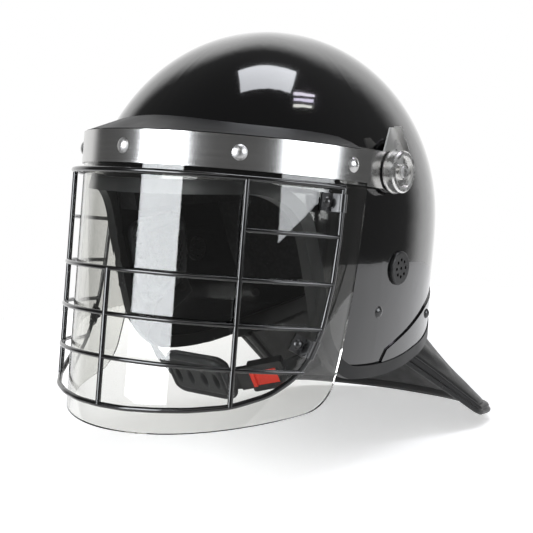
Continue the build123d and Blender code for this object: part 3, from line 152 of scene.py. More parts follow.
class Graph(Nodes):
    """Node tree of one finish, round one shader."""

    def __init__(self, name: str) -> None:
        """Starts the material of this name with its shader.

        Args:
            name: Name of the material.
        """
        self.material = bpy.data.materials.new(name)
        self.material.use_nodes = True
        super().__init__(self.material.node_tree)
        self.output = self.add("ShaderNodeOutputMaterial")
        self.shader = self.add("ShaderNodeBsdfPrincipled")
        self.join(self.shader.outputs[0], self.output.inputs[0])
        self.source = self.add("ShaderNodeTexCoord").outputs["Object"]

    def set(self, **values: float | tuple) -> None:
        """Sets plain values on the shader's own sockets.

        Args:
            **values: Socket names in lower case with low lines, and their values.
        """
        names = {s.name.lower().replace(" ", "_"): s for s in self.shader.inputs}
        for name, value in values.items():
            if isinstance(value, tuple) and len(value) == 3:
                value = (*value, 1.0)
            names[name].default_value = value

    def drive(self, name: str, socket: Socket) -> None:
        """Links a pattern to one of the shader's sockets."""
        self.join(socket, self.shader.inputs[name])

    def stretch(self, scale: Sequence[float], turn: float = 0.0) -> Socket:
        """Coordinates turned about X by some degrees, then stretched along each axis.

        Args:
            scale: Scale along each axis.
            turn: Turn about X, in degrees.

        Returns:
            The coordinates.
        """
        first = self.add("ShaderNodeMapping")
        first.inputs["Rotation"].default_value = (math.radians(turn), 0, 0)
        self.join(self.source, first.inputs["Vector"])
        second = self.add("ShaderNodeMapping")
        second.inputs["Scale"].default_value = scale
        self.join(first.outputs[0], second.inputs["Vector"])
        return second.outputs[0]

    def noise(self, scale: float, detail: float, vector: Socket | None = None) -> Socket:
        """Soft random pattern.

        Args:
            scale: Cycles per metre, or per unit of the given coordinates.
            detail: Number of finer layers.
            vector: Coordinates, or None for the object's own.

        Returns:
            The pattern, from 0 to 1.
        """
        node = self.add("ShaderNodeTexNoise")
        node.inputs["Scale"].default_value = scale
        node.inputs["Detail"].default_value = detail
        self.join(vector or self.source, node.inputs["Vector"])
        return node.outputs["Fac"]

    def cells(self, scale: float, feature: str = "F1") -> Socket:
        """Distance pattern of packed cells, with a number of them per metre.

        Args:
            scale: Cells per metre.
            feature: Kind of distance.

        Returns:
            The distance.
        """
        node = self.add("ShaderNodeTexVoronoi")
        node.feature = feature
        node.inputs["Scale"].default_value = scale
        self.join(self.source, node.inputs["Vector"])
        return node.outputs["Distance"]

    def tint(self, share: Socket, low: Colour, high: Colour) -> None:
        """Runs the base colour from one colour to another, by a share.

        Args:
            share: Pattern from 0 to 1.
            low: Colour at 0.
            high: Colour at 1.
        """
        node = self.add("ShaderNodeMix")
        node.data_type = "RGBA"
        self.join(share, node.inputs["Factor"])
        node.inputs[6].default_value = (*low, 1.0)
        node.inputs[7].default_value = (*high, 1.0)
        self.drive("Base Color", node.outputs[2])

    def relief(self, height: Socket, depth: float, strength: float = 1.0) -> None:
        """Raises the surface by a pattern, over any relief that it has.

        Args:
            height: Pattern from 0 to 1.
            depth: Height of the relief in metres.
            strength: Share of it that shows.
        """
        node = self.add("ShaderNodeBump")
        node.inputs["Strength"].default_value = strength
        node.inputs["Distance"].default_value = depth
        self.join(height, node.inputs["Height"])
        socket = self.shader.inputs["Normal"]
        if socket.is_linked:
            self.join(socket.links[0].from_socket, node.inputs["Normal"])
        self.join(node.outputs[0], socket)

    def holes(self, lie: Lie, pitch: float) -> Socket:
        """Distance from the nearest point of a honeycomb, in pitches.

        Args:
            lie: Flat in which the honeycomb runs.
            pitch: Distance between neighbours, in metres.

        Returns:
            The distance.
        """
        split = self.add("ShaderNodeSeparateXYZ")
        self.join(self.source, split.inputs[0])
        flat = self.add("ShaderNodeCombineXYZ")
        for place, axis in enumerate(lie.value):
            self.join(split.outputs[axis], flat.inputs[place])
        if lie is Lie.SIDE:
            out = self.maths("ABSOLUTE", split.outputs["X"])
            self.join(self.maths("SUBTRACT", split.outputs["Y"], out), flat.inputs[0])
        row = math.sqrt(3)
        grid = self.vector("MULTIPLY", flat.outputs[0], (1 / pitch, 1 / (pitch * row), 0))
        near = []
        for shift in (0.0, 0.5):
            part = self.vector("FRACTION", self.vector("ADD", grid, (shift, shift, 0)))
            middle = self.vector("SUBTRACT", part, (0.5, 0.5, 0))
            near.append(self.vector("LENGTH", self.vector("MULTIPLY", middle, (1, row, 0))))
        return self.maths("MINIMUM", *near)


@dataclass(frozen=True)
class Finish:
    """Surface of one kind of part."""

    name: str
    colour: Colour
    roughness: float

    def paint(self, graph: Graph) -> None:
        """Adds the finish's own patterns to its node tree."""

    def material(self) -> bpy.types.Material:
        """The finish's material, made once.

        Returns:
            The material.
        """
        made = bpy.data.materials.get(self.name)
        if made is not None:
            return made
        graph = Graph(self.name)
        graph.set(base_color=self.colour, roughness=self.roughness)
        self.paint(graph)
        return graph.material

    def tone(self, factor: float, lift: float = 0.0) -> Colour:
        """The finish's colour, multiplied and then raised."""
        return tuple(min(1.0, c * factor + lift) for c in self.colour)

    def rub(
        self, graph: Graph, pattern: Socket, low: float, high: float, source: Point2 = (0.3, 0.7)
    ) -> None:
        """Lets the roughness run between two of its multiples along a pattern.

        Args:
            graph: Node tree of the finish.
            pattern: Pattern it follows.
            low: Multiple at the pattern's lower end.
            high: Multiple at its upper end.
            source: Ends of the pattern.
        """
        ends = (self.roughness * low, self.roughness * high)
        graph.drive("Roughness", graph.span(pattern, source, ends))

    def dress(self, *nodes: str) -> None:
        """Puts the finish on CAD nodes that stay."""
        for name in nodes:
            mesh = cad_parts[name].data
            mesh.materials.clear()
            mesh.materials.append(self.material())


@dataclass(frozen=True)
class GlossPaint(Finish):
    """Sprayed and lacquered paint with a faint orange peel."""

    peel: float = 0.00002

    def paint(self, graph: Graph) -> None:
        """Adds the lacquer, its peel and a little dust.

        Args:
            graph: Node tree of the finish.
        """
        graph.set(coat_weight=1.0, coat_roughness=0.015, specular_ior_level=0.35)
        graph.relief(graph.noise(420, 1), self.peel)
        dust = graph.span(graph.noise(1500, 2), (0.74, 0.82), (0, 1))
        cloud = graph.span(graph.noise(6, 3), (0.35, 0.75), (0.0, 0.35))
        graph.tint(graph.maths("MULTIPLY", dust, cloud), self.colour, self.tone(9, 0.02))
        self.rub(graph, graph.noise(9, 4), 1, 2, (0.3, 0.8))


@dataclass(frozen=True)
class Rubber(Finish):
    """Moulded or extruded rubber with a dry, even skin."""

    def paint(self, graph: Graph) -> None:
        """Adds the skin's grain and its rubbed places.

        Args:
            graph: Node tree of the finish.
        """
        worn = graph.noise(24, 4)
        graph.tint(worn, self.colour, self.tone(1.7, 0.004))
        self.rub(graph, worn, 0.85, 1.2)
        graph.set(specular_ior_level=0.32)
        graph.relief(graph.noise(1600, 3), 0.00006, 0.6)


@dataclass(frozen=True)
class BeadFoam(Finish):
    """Moulded bead foam, each bead pressed against its neighbours."""

    def paint(self, graph: Graph) -> None:
        """Adds the beads and the seams between them, with painted shade: bead middles lighter and
        seams darker.

        Args:
            graph: Node tree of the finish.
        """
        shade = graph.span(graph.cells(260), (0.0, 0.7), (1, 0))
        graph.set(specular_ior_level=0.15)
        # Painted shade: the colour darkens into the seams between beads and lightens on the
        # raised bead middles.
        graph.tint(shade, self.colour, self.tone(1.9))
        graph.relief(shade, 0.0004, 0.7)
        graph.relief(graph.noise(2500, 2), 0.00005, 0.5)


@dataclass(frozen=True)
class HoneycombMesh(Finish):
    """Open spacer fabric with a honeycomb of holes."""

    lie: Lie = Lie.SIDE
    pitch: float = 0.0042

    def paint(self, graph: Graph) -> None:
        """Adds the holes, the strands between them and the knit on the strands, with painted
        shade in the holes.

        Args:
            graph: Node tree of the finish.
        """
        hole = graph.span(graph.holes(self.lie, self.pitch), (0.26, 0.4), (0, 1))
        knit = graph.noise(2600, 2)
        strand = graph.maths("MULTIPLY", hole, graph.span(knit, (0.3, 0.7), (0.55, 1)))
        # Painted shade: the holes are painted near black for the shade in their depth; the knit
        # varies the strands' own tone.
        graph.tint(strand, self.tone(0.12), self.colour)
        graph.set(sheen_weight=0.08, sheen_roughness=0.4, specular_ior_level=0.15)
        graph.relief(hole, 0.0009, 0.9)
        graph.relief(knit, 0.00012, 0.6)


@dataclass(frozen=True)
class Leather(Finish):
    """Coated fabric with a pebbled grain and soft creases."""

    grain: float = 1050.0

    def paint(self, graph: Graph) -> None:
        """Adds the pebbles, the creases and the shine of worn places.

        Args:
            graph: Node tree of the finish.
        """
        graph.set(specular_ior_level=0.35)
        pebble = graph.span(graph.cells(self.grain, "SMOOTH_F1"), (0.05, 0.6), (1, 0))
        crease = graph.noise(70, 5)
        graph.tint(graph.noise(18, 3), self.colour, self.tone(1.8, 0.003))
        self.rub(graph, crease, 0.8, 1.25)
        graph.relief(pebble, 0.00014, 0.8)
        graph.relief(crease, 0.0005, 0.35)


@dataclass(frozen=True)
class BrushedSteel(Finish):
    """Stainless sheet brushed along its length."""

    pitch_turn: float = 0.0
    fine: float = 2400.0

    def paint(self, graph: Graph) -> None:
        """Adds the brush lines, a faint cloud and fingerprints of wear.

        Args:
            graph: Node tree of the finish.
        """
        graph.set(metallic=1.0)
        lines = graph.noise(1, 5, graph.stretch((9, 9, self.fine), self.pitch_turn))
        halves = (graph.maths("MULTIPLY", part, 0.5) for part in (lines, graph.noise(12, 3)))
        self.rub(graph, graph.maths("ADD", *halves), 0.7, 1.35)
        graph.tint(lines, self.tone(0.82), self.colour)
        graph.relief(lines, 0.000018, 0.6)


@dataclass(frozen=True)
class TurnedSteel(Finish):
    """Machined and polished steel with faint turning marks."""

    def paint(self, graph: Graph) -> None:
        """Adds fine marks and a little tarnish.

        Args:
            graph: Node tree of the finish.
        """
        graph.set(metallic=1.0)
        self.rub(graph, graph.noise(160, 4), 0.6, 1.7)
        graph.tint(graph.noise(3200, 2), self.tone(0.88), self.colour)


@dataclass(frozen=True)
class DippedSteel(Finish):
    """Steel under a thick black dip coat."""

    worn: Colour = (0.03, 0.03, 0.031)

    def paint(self, graph: Graph) -> None:
        """Adds the coat and its soft runs.

        Args:
            graph: Node tree of the finish.
        """
        graph.set(coat_weight=0.6, coat_roughness=0.1)
        runs = graph.noise(60, 2)
        self.rub(graph, runs, 0.85, 1.2)
        graph.relief(runs, 0.00008, 0.35)
        chips = graph.span(graph.noise(700, 2), (0.8, 0.9), (0, 1))
        graph.tint(chips, self.colour, self.worn)


@dataclass(frozen=True)
class ClearSheet(Finish):
    """Clear sheet that bends what is behind it and lets lamps through."""

    def paint(self, graph: Graph) -> None:
        """Adds the glass, the way for lamps and a few fine scratches.

        Args:
            graph: Node tree of the finish.
        """
        graph.set(transmission_weight=1.0, ior=1.5, specular_ior_level=0.5)
        smears = graph.noise(14, 4, graph.stretch((3, 3, 1)))
        graph.drive("Roughness", graph.span(smears, (0.45, 0.75), (0.0, self.roughness)))
        path = graph.add("ShaderNodeLightPath")
        passing = graph.add("ShaderNodeBsdfTransparent")
        passing.inputs[0].default_value = (0.93, 0.94, 0.94, 1)
        mix = graph.add("ShaderNodeMixShader")
        graph.join(path.outputs["Is Shadow Ray"], mix.inputs[0])
        graph.join(graph.shader.outputs[0], mix.inputs[1])
        graph.join(passing.outputs[0], mix.inputs[2])
        graph.join(mix.outputs[0], graph.output.inputs[0])


@dataclass(frozen=True)
class Webbing(Finish):
    """Flat woven nylon tape with ribs across it."""

    rib: float = 0.0014
    warp: float = 0.0009

    def paint(self, graph: Graph) -> None:
        """Adds the ribs, the warp lines and their fuzz, with painted shade between the ribs.

        Args:
            graph: Node tree of the finish.
        """
        lay = graph.add("ShaderNodeAttribute")
        lay.attribute_name = "lay"
        split = graph.add("ShaderNodeSeparateXYZ")
        graph.join(lay.outputs["Vector"], split.inputs[0])
        waves = [
            graph.maths("SINE", graph.maths("MULTIPLY", split.outputs[k], 2 * math.pi / pitch))
            for k, pitch in enumerate((self.warp, self.rib))
        ]
        weave = graph.span(graph.maths("MULTIPLY", *waves), (-1, 1), (0, 1))
        fuzz = graph.noise(2800, 2)
        both = graph.maths("MULTIPLY", weave, graph.span(fuzz, (0.2, 0.8), (0.5, 1)))
        # Painted shade: the weave's low places are darker and its raised places lighter; the fuzz
        # varies the thread's own tone.
        graph.tint(both, self.colour, self.tone(2.1, 0.004))
        graph.set(sheen_weight=0.08, sheen_roughness=0.5, specular_ior_level=0.25)
        graph.relief(weave, 0.00028, 0.8)
        graph.relief(fuzz, 0.0001, 0.5)


@dataclass(frozen=True)
class Moulded(Finish):
    """Moulded plastic with a fine spark-eroded skin."""

    def paint(self, graph: Graph) -> None:
        """Adds the skin's texture and handling marks.

        Args:
            graph: Node tree of the finish.
        """
        marks = graph.noise(40, 4)
        self.rub(graph, marks, 0.8, 1.25)
        graph.tint(marks, self.colour, self.tone(1.35, 0.002))
        graph.relief(graph.noise(2100, 2), 0.00005, 0.5)


SHELL_PAINT = GlossPaint("shell_paint", (0.0028, 0.0028, 0.0032), 0.07)
STRIP_VINYL = GlossPaint("strip_vinyl", (0.0035, 0.0035, 0.0038), 0.14, 0.00004)
TRIM_RUBBER = Rubber("trim_rubber", (0.005, 0.0052, 0.0055), 0.4)
SEAL_RUBBER = Rubber("seal_rubber", (0.006, 0.0064, 0.007), 0.42)
LINER_FOAM = BeadFoam("liner_foam", (0.009, 0.009, 0.0096), 0.8)
SIDE_MESH = HoneycombMesh("side_mesh", (0.042, 0.042, 0.044), 0.75, Lie.SIDE)
FRONT_MESH = HoneycombMesh("front_mesh", (0.026, 0.026, 0.027), 0.75, Lie.FRONT)
TOP_MESH = HoneycombMesh("top_mesh", (0.016, 0.016, 0.0168), 0.75, Lie.TOP)
BINDING = Leather("pad_binding", (0.032, 0.033, 0.035), 0.45, 1500)
GUARD_LEATHER = Leather("guard_leather", (0.0045, 0.0045, 0.0048), 0.38)
GUARD_PIPING = Leather("guard_piping", (0.0038, 0.0038, 0.004), 0.32, 1800)
CUP_LEATHER = Leather("cup_leather", (0.009, 0.0095, 0.0105), 0.4, 1300)
CUP_CORD = Leather("cup_cord", (0.012, 0.012, 0.013), 0.42, 2200)
BAND_STEEL = BrushedSteel("band_steel", (0.66, 0.655, 0.645), 0.2, 7.09)
PLATE_STEEL = BrushedSteel("plate_steel", (0.72, 0.715, 0.7), 0.34)
CAP_STEEL = TurnedSteel("cap_steel", (0.86, 0.855, 0.84), 0.26)
RIVET_STEEL = TurnedSteel("rivet_steel", (0.62, 0.615, 0.61), 0.3)
WASHER_STEEL = TurnedSteel("washer_steel", (0.5, 0.5, 0.51), 0.22)
WIRE_COAT = DippedSteel("wire_coat", (0.0035, 0.0035, 0.0038), 0.2)
CLIP_COAT = DippedSteel("clip_coat", (0.005, 0.005, 0.0053), 0.28)
RIVET_BLACK = DippedSteel("rivet_black", (0.012, 0.012, 0.0125), 0.32)
LENS_CLEAR = ClearSheet("lens_clear", (0.8, 0.8, 0.775), 0.02)
STRAP_WEBBING = Webbing("strap_webbing", (0.0055, 0.0055, 0.006), 0.75)
BLACK_NYLON = Moulded("black_nylon", (0.008, 0.008, 0.0085), 0.38)
PLUG_PLASTIC = Moulded("plug_plastic", (0.008, 0.008, 0.0085), 0.36)
LEVER_RED = Moulded("lever_red", (0.62, 0.03, 0.012), 0.34)
THREAD = Rubber("seam_thread", (0.012, 0.012, 0.0125), 0.6)

PUFF_FRAMES = 20
BEAD_DEPTH = 0.28
END_SHARE = 0.35
CEILING = 1.5


def add_object(name: str, data: bpy.types.ID) -> Piece:
    """Links a new object with this data to the scene.

    Args:
        name: Name of the object.
        data: Its mesh, lamp or camera.

    Returns:
        The object.
    """
    made = bpy.data.objects.new(name, data)
    bpy.context.scene.collection.objects.link(made)
    return made


def piece(
    name: str,
    points: Iterable[Sequence[float]],
    faces: Iterable[Face],
    *finishes: Finish,
) -> Piece:
    """Makes a smooth object from points and faces.

    Args:
        name: Name of the piece.
        points: Points in the frame, in metres.
        faces: Point numbers of each face.
        *finishes: Finishes in the order of the material slots.

    Returns:
        The new object, linked to the scene.
    """
    mesh = bpy.data.meshes.new(name)
    mesh.from_pydata([tuple(p) for p in points], [], list(faces))
    mesh.validate()
    tidy = bmesh.new()
    tidy.from_mesh(mesh)
    bmesh.ops.recalc_face_normals(tidy, faces=tidy.faces)
    tidy.to_mesh(mesh)
    tidy.free()
    mesh.polygons.foreach_set("use_smooth", [True] * len(mesh.polygons))
    for finish in finishes:
        mesh.materials.append(finish.material())
    return add_object(name, mesh)


def declare(made: Piece, node: str = "") -> Piece:
    """Hides the CAD node that a piece stands for, if any, and fixes the piece to the helmet.

    Args:
        made: The piece.
        node: CAD node that it stands for, if any.

    Returns:
        The piece.
    """
    if node:
        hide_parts(node)
    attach(made, Body.HELMET.value)
    return made


def ring_faces(low: int, high: int, sides: int) -> list[Face]:
    """Faces between two rings of points, given by their first numbers."""
    steps = [(k, (k + 1) % sides) for k in range(sides)]
    return [(low + k, low + n, high + n, high + k) for k, n in steps]


def slab_faces(rows: int, columns: int) -> list[Face]:
    """Faces of two grids of points, one behind the other and closed round their borders.

    Args:
        rows: Rows of faces in a grid.
        columns: Faces in a row.

    Returns:
        Point numbers of each face.
    """
    width = columns + 1
    size = width * (rows + 1)
    faces: list[Face] = []
    for row in range(rows):
        for a in range(row * width, row * width + columns):
            b = a + width
            faces.append((a, a + 1, b + 1, b))
            faces.append((size + a, size + b, size + b + 1, size + a + 1))
    for column in range(columns):
        faces.append((column, size + column, size + column + 1, column + 1))
        a = rows * width + column
        faces.append((a, a + 1, size + a + 1, size + a))
    for row in range(rows):
        for a in (row * width, row * width + columns):
            faces.append((a, a + width, size + a + width, size + a))
    return faces


def arc(points: np.ndarray) -> np.ndarray:
    """Distance of each point from the first, along their line."""
    steps = np.linalg.norm(np.diff(points, axis=0), axis=1)
    return np.concatenate(([0.0], np.cumsum(steps)))


def spot_at(points: np.ndarray, total: np.ndarray, distance: float) -> Vector:
    """Point at a distance along a line, from its points and their distances."""
    return Vector([np.interp(distance, total, column) for column in points.T])


def evenly(points: np.ndarray, count: int) -> list[Vector]:
    """Points spread evenly along a line that ends where it starts."""
    total = arc(points)
    return [spot_at(points, total, at) for at in np.linspace(0, total[-1], count, endpoint=False)]


def heading(line: Sequence[Sequence[float]], order: int) -> Vector:
    """Direction of an open line at one of its points."""
    before, after = line[max(order - 1, 0)], line[min(order + 1, len(line) - 1)]
    return (Vector(after) - Vector(before)).normalized()


def cubic(values: Sequence[float], at: float) -> float:
    """Value at a share of a cubic with four control values.

    Args:
        values: Control values.
        at: Share, from 0 to 1.

    Returns:
        The value.
    """
    back = 1 - at
    a, b, c, d = values
    return back**3 * a + 3 * back**2 * at * b + 3 * back * at**2 * c + at**3 * d


def bell(at: float, middle: float, width: float) -> float:
    """Height of a bell curve that is 1 at its middle."""
    return math.exp(-(((at - middle) / width) ** 2))


def soften(made: Piece) -> None:
    """Subdivides a piece once and keeps the result.

    Args:
        made: The piece.
    """
    step = made.modifiers.new("soften", "SUBSURF")
    step.levels = 1
    step.render_levels = 1
    bpy.context.view_layer.update()
    solved = made.evaluated_get(bpy.context.evaluated_depsgraph_get())
    mesh = bpy.data.meshes.new_from_object(solved)
    old = made.data
    made.modifiers.clear()
    made.data = mesh
    bpy.data.meshes.remove(old)


def puff(made: Piece, pressure: float, cap: float, held: Sequence[int]) -> None:
    """Swells a closed piece as a stuffed cover would, by cloth simulation.

    Args:
        made: Closed piece.
        pressure: Pressure inside it.
        cap: Furthest that a point may move, in metres.
        held: Points that stay where they are sewn.
    """
    start = np.array([v.co for v in made.data.vertices], float)
    step = made.modifiers.new("cover", "CLOTH")
    values = step.settings
    values.quality = 4
    values.mass = 0.2
    values.tension_stiffness = 12
    values.compression_stiffness = 12
    values.shear_stiffness = 4
    values.bending_stiffness = 0.6
    values.use_pressure = True
    values.uniform_pressure_force = pressure
    values.effector_weights.gravity = 0
    group = made.vertex_groups.new(name="held")
    group.add(held, 1.0, "REPLACE")
    values.vertex_group_mass = "held"
    scene = bpy.context.scene
    for moment in range(1, PUFF_FRAMES + 1):
        scene.frame_set(moment)
    solved = made.evaluated_get(bpy.context.evaluated_depsgraph_get())
    end = np.array([v.co for v in solved.to_mesh().vertices], float)
    solved.to_mesh_clear()
    made.modifiers.remove(step)
    made.vertex_groups.clear()
    scene.frame_set(1)
    move = end - start
    reach = np.linalg.norm(move, axis=1, keepdims=True)
    move *= np.minimum(1, cap / np.maximum(reach, 1e-9))
    made.data.vertices.foreach_set("co", (start + move).astype(np.float32).ravel())
    made.data.update()


def rounded_path(
    corners: Sequence[Point2], radii: Sequence[float], step: float
) -> list[Point2]:
    """Line through corners that are rounded by arcs.

    Args:
        corners: Corner points.
        radii: Radius at each corner between the ends.
        step: Distance between points of the line.

    Returns:
        Points along the line.
    """
    line = [Vector(corners[0])]
    for place, radius in enumerate(radii):
        before, here, after = (Vector(corners[place + k]) for k in range(3))
        back = (before - here).normalized()
        on = (after - here).normalized()
        half = back.angle(on) / 2
        reach = radius / math.tan(half)
        middle = here + (back + on).normalized() * (radius / math.sin(half))
        first = here + back * reach - middle
        last = here + on * reach - middle
        turn = first.angle(last)
        count = max(4, int(radius * turn / step))
        for k in range(count + 1):
            share = k / count
            spot = (
                first * math.sin((1 - share) * turn) + last * math.sin(share * turn)
            ) / math.sin(turn)
            line.append(middle + spot)
    line.append(Vector(corners[-1]))
    even = [line[0]]
    for start, end in zip(line, line[1:]):
        count = max(1, int((end - start).length / step))
        even += [start.lerp(end, k / count) for k in range(1, count + 1)]
    return [tuple(p) for p in even]


def tube(
    name: str,
    line: Sequence[Vector],
    radius: float,
    finish: Finish,
    closed: bool = False,
    sides: int = 12,
    beads: float = 0.0,
) -> Piece:
    """Round tube along a line, with rounded ends.

    Args:
        name: Name of the piece.
        line: Points along it.
        radius: Radius of the tube.
        finish: Its finish.
        closed: Whether the line runs back to its start.
        sides: Number of sides round it.
        beads: Length of the beads along it, or 0 for a plain tube.

    Returns:
        The tube.
    """
    count = len(line)
    points: list[Vector] = []
    faces: list[Face] = []
    side = None
    travelled = 0.0
    for order, spot in enumerate(line):
        run = heading(line, order)
        if closed:
            run = (line[(order + 1) % count] - line[order - 1]).normalized()
        if side is None:
            side = run.orthogonal().normalized()
        side = (side - run * side.dot(run)).normalized()
        up = run.cross(side)
        size = radius
        if order:
            travelled += (spot - line[order - 1]).length
        if beads:
            swell = abs(math.sin(math.pi * travelled / beads))
            size = radius * (1 - BEAD_DEPTH + BEAD_DEPTH * swell)
        if not closed and order in (0, count - 1):
            size = radius * END_SHARE
        for k in range(sides):
            turn = 2 * math.pi * k / sides
            points.append(spot + (side * math.cos(turn) + up * math.sin(turn)) * size)
    for ring in range(count if closed else count - 1):
        faces += ring_faces(ring * sides, (ring + 1) % count * sides, sides)
    if not closed:
        faces += [tuple(range(sides)), tuple(range(len(points) - sides, len(points)))]
    return piece(name, points, faces, finish)


@dataclass
class StitchRow:
    """Row of short stitches that lie on a surface.

    Each ring of a stitch has its place along it, its size and its lift, all as shares.
    """

    length: float = 0.0026
    gap: float = 0.0016
    thickness: float = 0.0007
    flatness: float = 0.7
    sides: int = 6
    rings: Sequence[Point3] = (
        (-0.5, 0.35, -0.1), (-0.3, 0.95, 0.45), (0.0, 1.1, 0.45), (0.3, 0.95, 0.45),
        (0.5, 0.35, -0.1),
    )

    def build(
        self, name: str, line: Sequence[Vector], outward: Sequence[Vector], finish: Finish
    ) -> Piece:
        """Lays stitches along a line.

        Args:
            name: Name of the piece.
            line: Points along the seam.
            outward: Direction out of the surface at each point.
            finish: Finish of the thread.

        Returns:
            The stitches as one piece.
        """
        spots, outs = (np.array([tuple(p) for p in part], float) for part in (line, outward))
        total = arc(spots)
        pitch = self.length + self.gap
        points: list[Vector] = []
        faces: list[Face] = []
        for start in np.arange(self.gap, total[-1] - pitch, pitch):
            first, last = (spot_at(spots, total, at) for at in (start, start + self.length))
            out = spot_at(outs, total, start).normalized()
            run = (last - first).normalized()
            side = run.cross(out)
            base = len(points)
            for along, size, raised in self.rings:
                lift = out * self.thickness * raised
                middle = (first + last) / 2 + run * along * self.length + lift
                for k in range(self.sides):
                    turn = 2 * math.pi * k / self.sides
                    round_part = side * math.cos(turn) + out * math.sin(turn) * self.flatness
                    points.append(middle + round_part * self.thickness * size * 0.5)
            for low in range(base, len(points) - self.sides, self.sides):
                faces += ring_faces(low, low + self.sides, self.sides)
            faces.append(tuple(range(base, base + self.sides)))
            faces.append(tuple(range(len(points) - self.sides, len(points))))
        return piece(name, points, faces, finish)


@dataclass
class Cushion:
    """Stuffed pad with a bound border, sewn channels and a crowned middle.

    The rings run from the back over the border to the crown. Each has its share of the way
    out to the outline, or of the border's width in from it, and its share of the thickness.
    """

    node: str
    outline: Sequence[Point2]
    corner: float
    axis: int
    toward: float
    middle: Finish
    border: float = 0.0085
    around: int = 120
    taper: float = 0.0
    channels: Sequence[tuple[Point2, Point2]] = ()
    channel_width: float = 0.003
    channel_depth: float = 0.16
    seat_margin: float = 0.001
    outline_step: float = 0.0015
    pressure: float = 1.2
    rise: float = 0.0022
    fill: float = 0.7
    back_rings: Sequence[Point2] = (
        (0.12, 0.0), (0.35, 0.0), (0.6, 0.0), (0.85, 0.01), (0.955, 0.06), (0.985, 0.25),
    )
    rim_rings: Sequence[Point2] = ((0.995, 0.5), (0.985, 0.74))
    border_rings: Sequence[Point2] = (
        (0.3, 0.88), (0.55, 0.93), (0.85, 0.9), (1, 0.82), (1.12, 0.8), (1.35, 0.9), (1.8, 0.965),
    )
    crown_rings: Sequence[Point2] = (
        (0.66, 0.99), (0.5, 1.0), (0.36, 1.01), (0.22, 1.015), (0.1, 1.02),
    )

    def spot(self, flat: Vector, depth: float) -> Vector:
        """Point from its place in the flat and its depth along the axis.

        Args:
            flat: Place in the flat.
            depth: Depth along the axis.

        Returns:
            The point.
        """
        others = [k for k in range(3) if k != self.axis]
        made = Vector((0, 0, 0))
        made[self.axis] = depth
        made[others[0]], made[others[1]] = flat
        return made

    def depths(self, tree: BVHTree, flat: Vector) -> tuple[float, float] | None:
        """Depths at which the CAD pad's outer and inner faces are met.

        Args:
            tree: Search tree of the CAD pad.
            flat: Place in the flat.

        Returns:
            Outer and inner depth, or None beside the pad.
        """
        ray = Vector((0, 0, 0))
        ray[self.axis] = -self.toward
        outer = tree.ray_cast(self.spot(flat, self.toward * 0.5), ray)[0]
        inner = tree.ray_cast(self.spot(flat, -self.toward * 0.5), -ray)[0]
        if outer is None or inner is None:
            return None
        return outer[self.axis], inner[self.axis]

    def deep(
        self, tree: BVHTree, middle: Vector, flat: Vector, share: float
    ) -> tuple[float, float]:
        """Depths at a share of the way out, or at the nearest place further in.

        Args:
            tree: Search tree of the CAD pad.
            middle: Middle of the pad in the flat.
            flat: Place on its outline.
            share: Share of the way from the middle to the outline.

        Returns:
            Outer and inner depth.
        """
        while share > 0.02:
            found = self.depths(tree, middle.lerp(flat, share))
            if found is not None:
                return found
            share -= 0.01
        return self.depths(tree, middle) or (0.0, 0.0)

    def loop(self) -> list[Vector]:
        """Even points round the outline with its corners rounded.

        Returns:
            The points.
        """
        start = (Vector(self.outline[0]) + Vector(self.outline[-1])) / 2
        corners = [tuple(start), *self.outline, tuple(start)]
        line = rounded_path(corners, [self.corner] * len(self.outline), self.outline_step)
        return evenly(np.array(line), self.around)

    def channel(self, flat: Vector) -> float:
        """Depth share of the sewn channels at a place, from 0 to 1.

        Args:
            flat: Place in the flat.

        Returns:
            The share.
        """
        deepest = 0.0
        for start, end in self.channels:
            a, b = Vector(start), Vector(end)
            along = max(0.0, min(1.0, (flat - a).dot(b - a) / (b - a).length_squared))
            away = (flat - a.lerp(b, along)).length
            deepest = max(deepest, bell(away, 0.0, self.channel_width))
        return deepest

    def build(self) -> Piece:
        """Builds the pad in its CAD solid's place and stands it for that solid.

        Returns:
            The pad.
        """
        tree = BVHTree.FromObject(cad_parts[self.node], bpy.context.evaluated_depsgraph_get())
        loop = self.loop()
        count = len(loop)
        middle = sum(loop, Vector((0, 0))) / count
        edge = self.border / min((p - middle).length for p in loop)
        inwards = [(1 - edge * share, lift) for share, lift in self.border_rings]
        rings = [*self.back_rings, *self.rim_rings, *inwards, *self.crown_rings]
        rim = len(self.back_rings)
        binding = range(rim + 3, rim + 6)
        points: list[Vector] = []
        for order, (share, lift) in enumerate(rings):
            for flat in loop:
                spot = middle.lerp(flat, share)
                inside = 1 - (self.taper + self.seat_margin) / (flat - middle).length
                outer = self.deep(tree, middle, flat, share)[0]
                inner = self.deep(tree, middle, flat, min(share, inside))[1]
                groove = self.channel(spot) * self.channel_depth * (order >= binding.stop)
                points.append(self.spot(spot, outer + (inner - outer) * (lift - groove)))
        faces: list[Face] = []
        bound: list[bool] = []
        for ring in range(len(rings) - 1):
            faces += ring_faces(ring * count, (ring + 1) * count, count)
            bound += [ring < rim or ring in binding] * count
        for first in (0, (len(rings) - 1) * count):
            hub = len(points)
            points.append(sum(points[first : first + count], Vector((0, 0, 0))) / count)
            faces += [(first + k, first + (k + 1) % count, hub) for k in range(count)]
            bound += [first == 0] * count
        made = piece(self.node + "_cover", points, faces, self.middle, BINDING)
        made.data.polygons.foreach_set("material_index", bound)
        puff(made, self.pressure, self.rise, range((rim + 1) * count))
        soften(made)
        made.data.polygons.foreach_set("use_smooth", [True] * len(made.data.polygons))
        return declare(made, self.node)


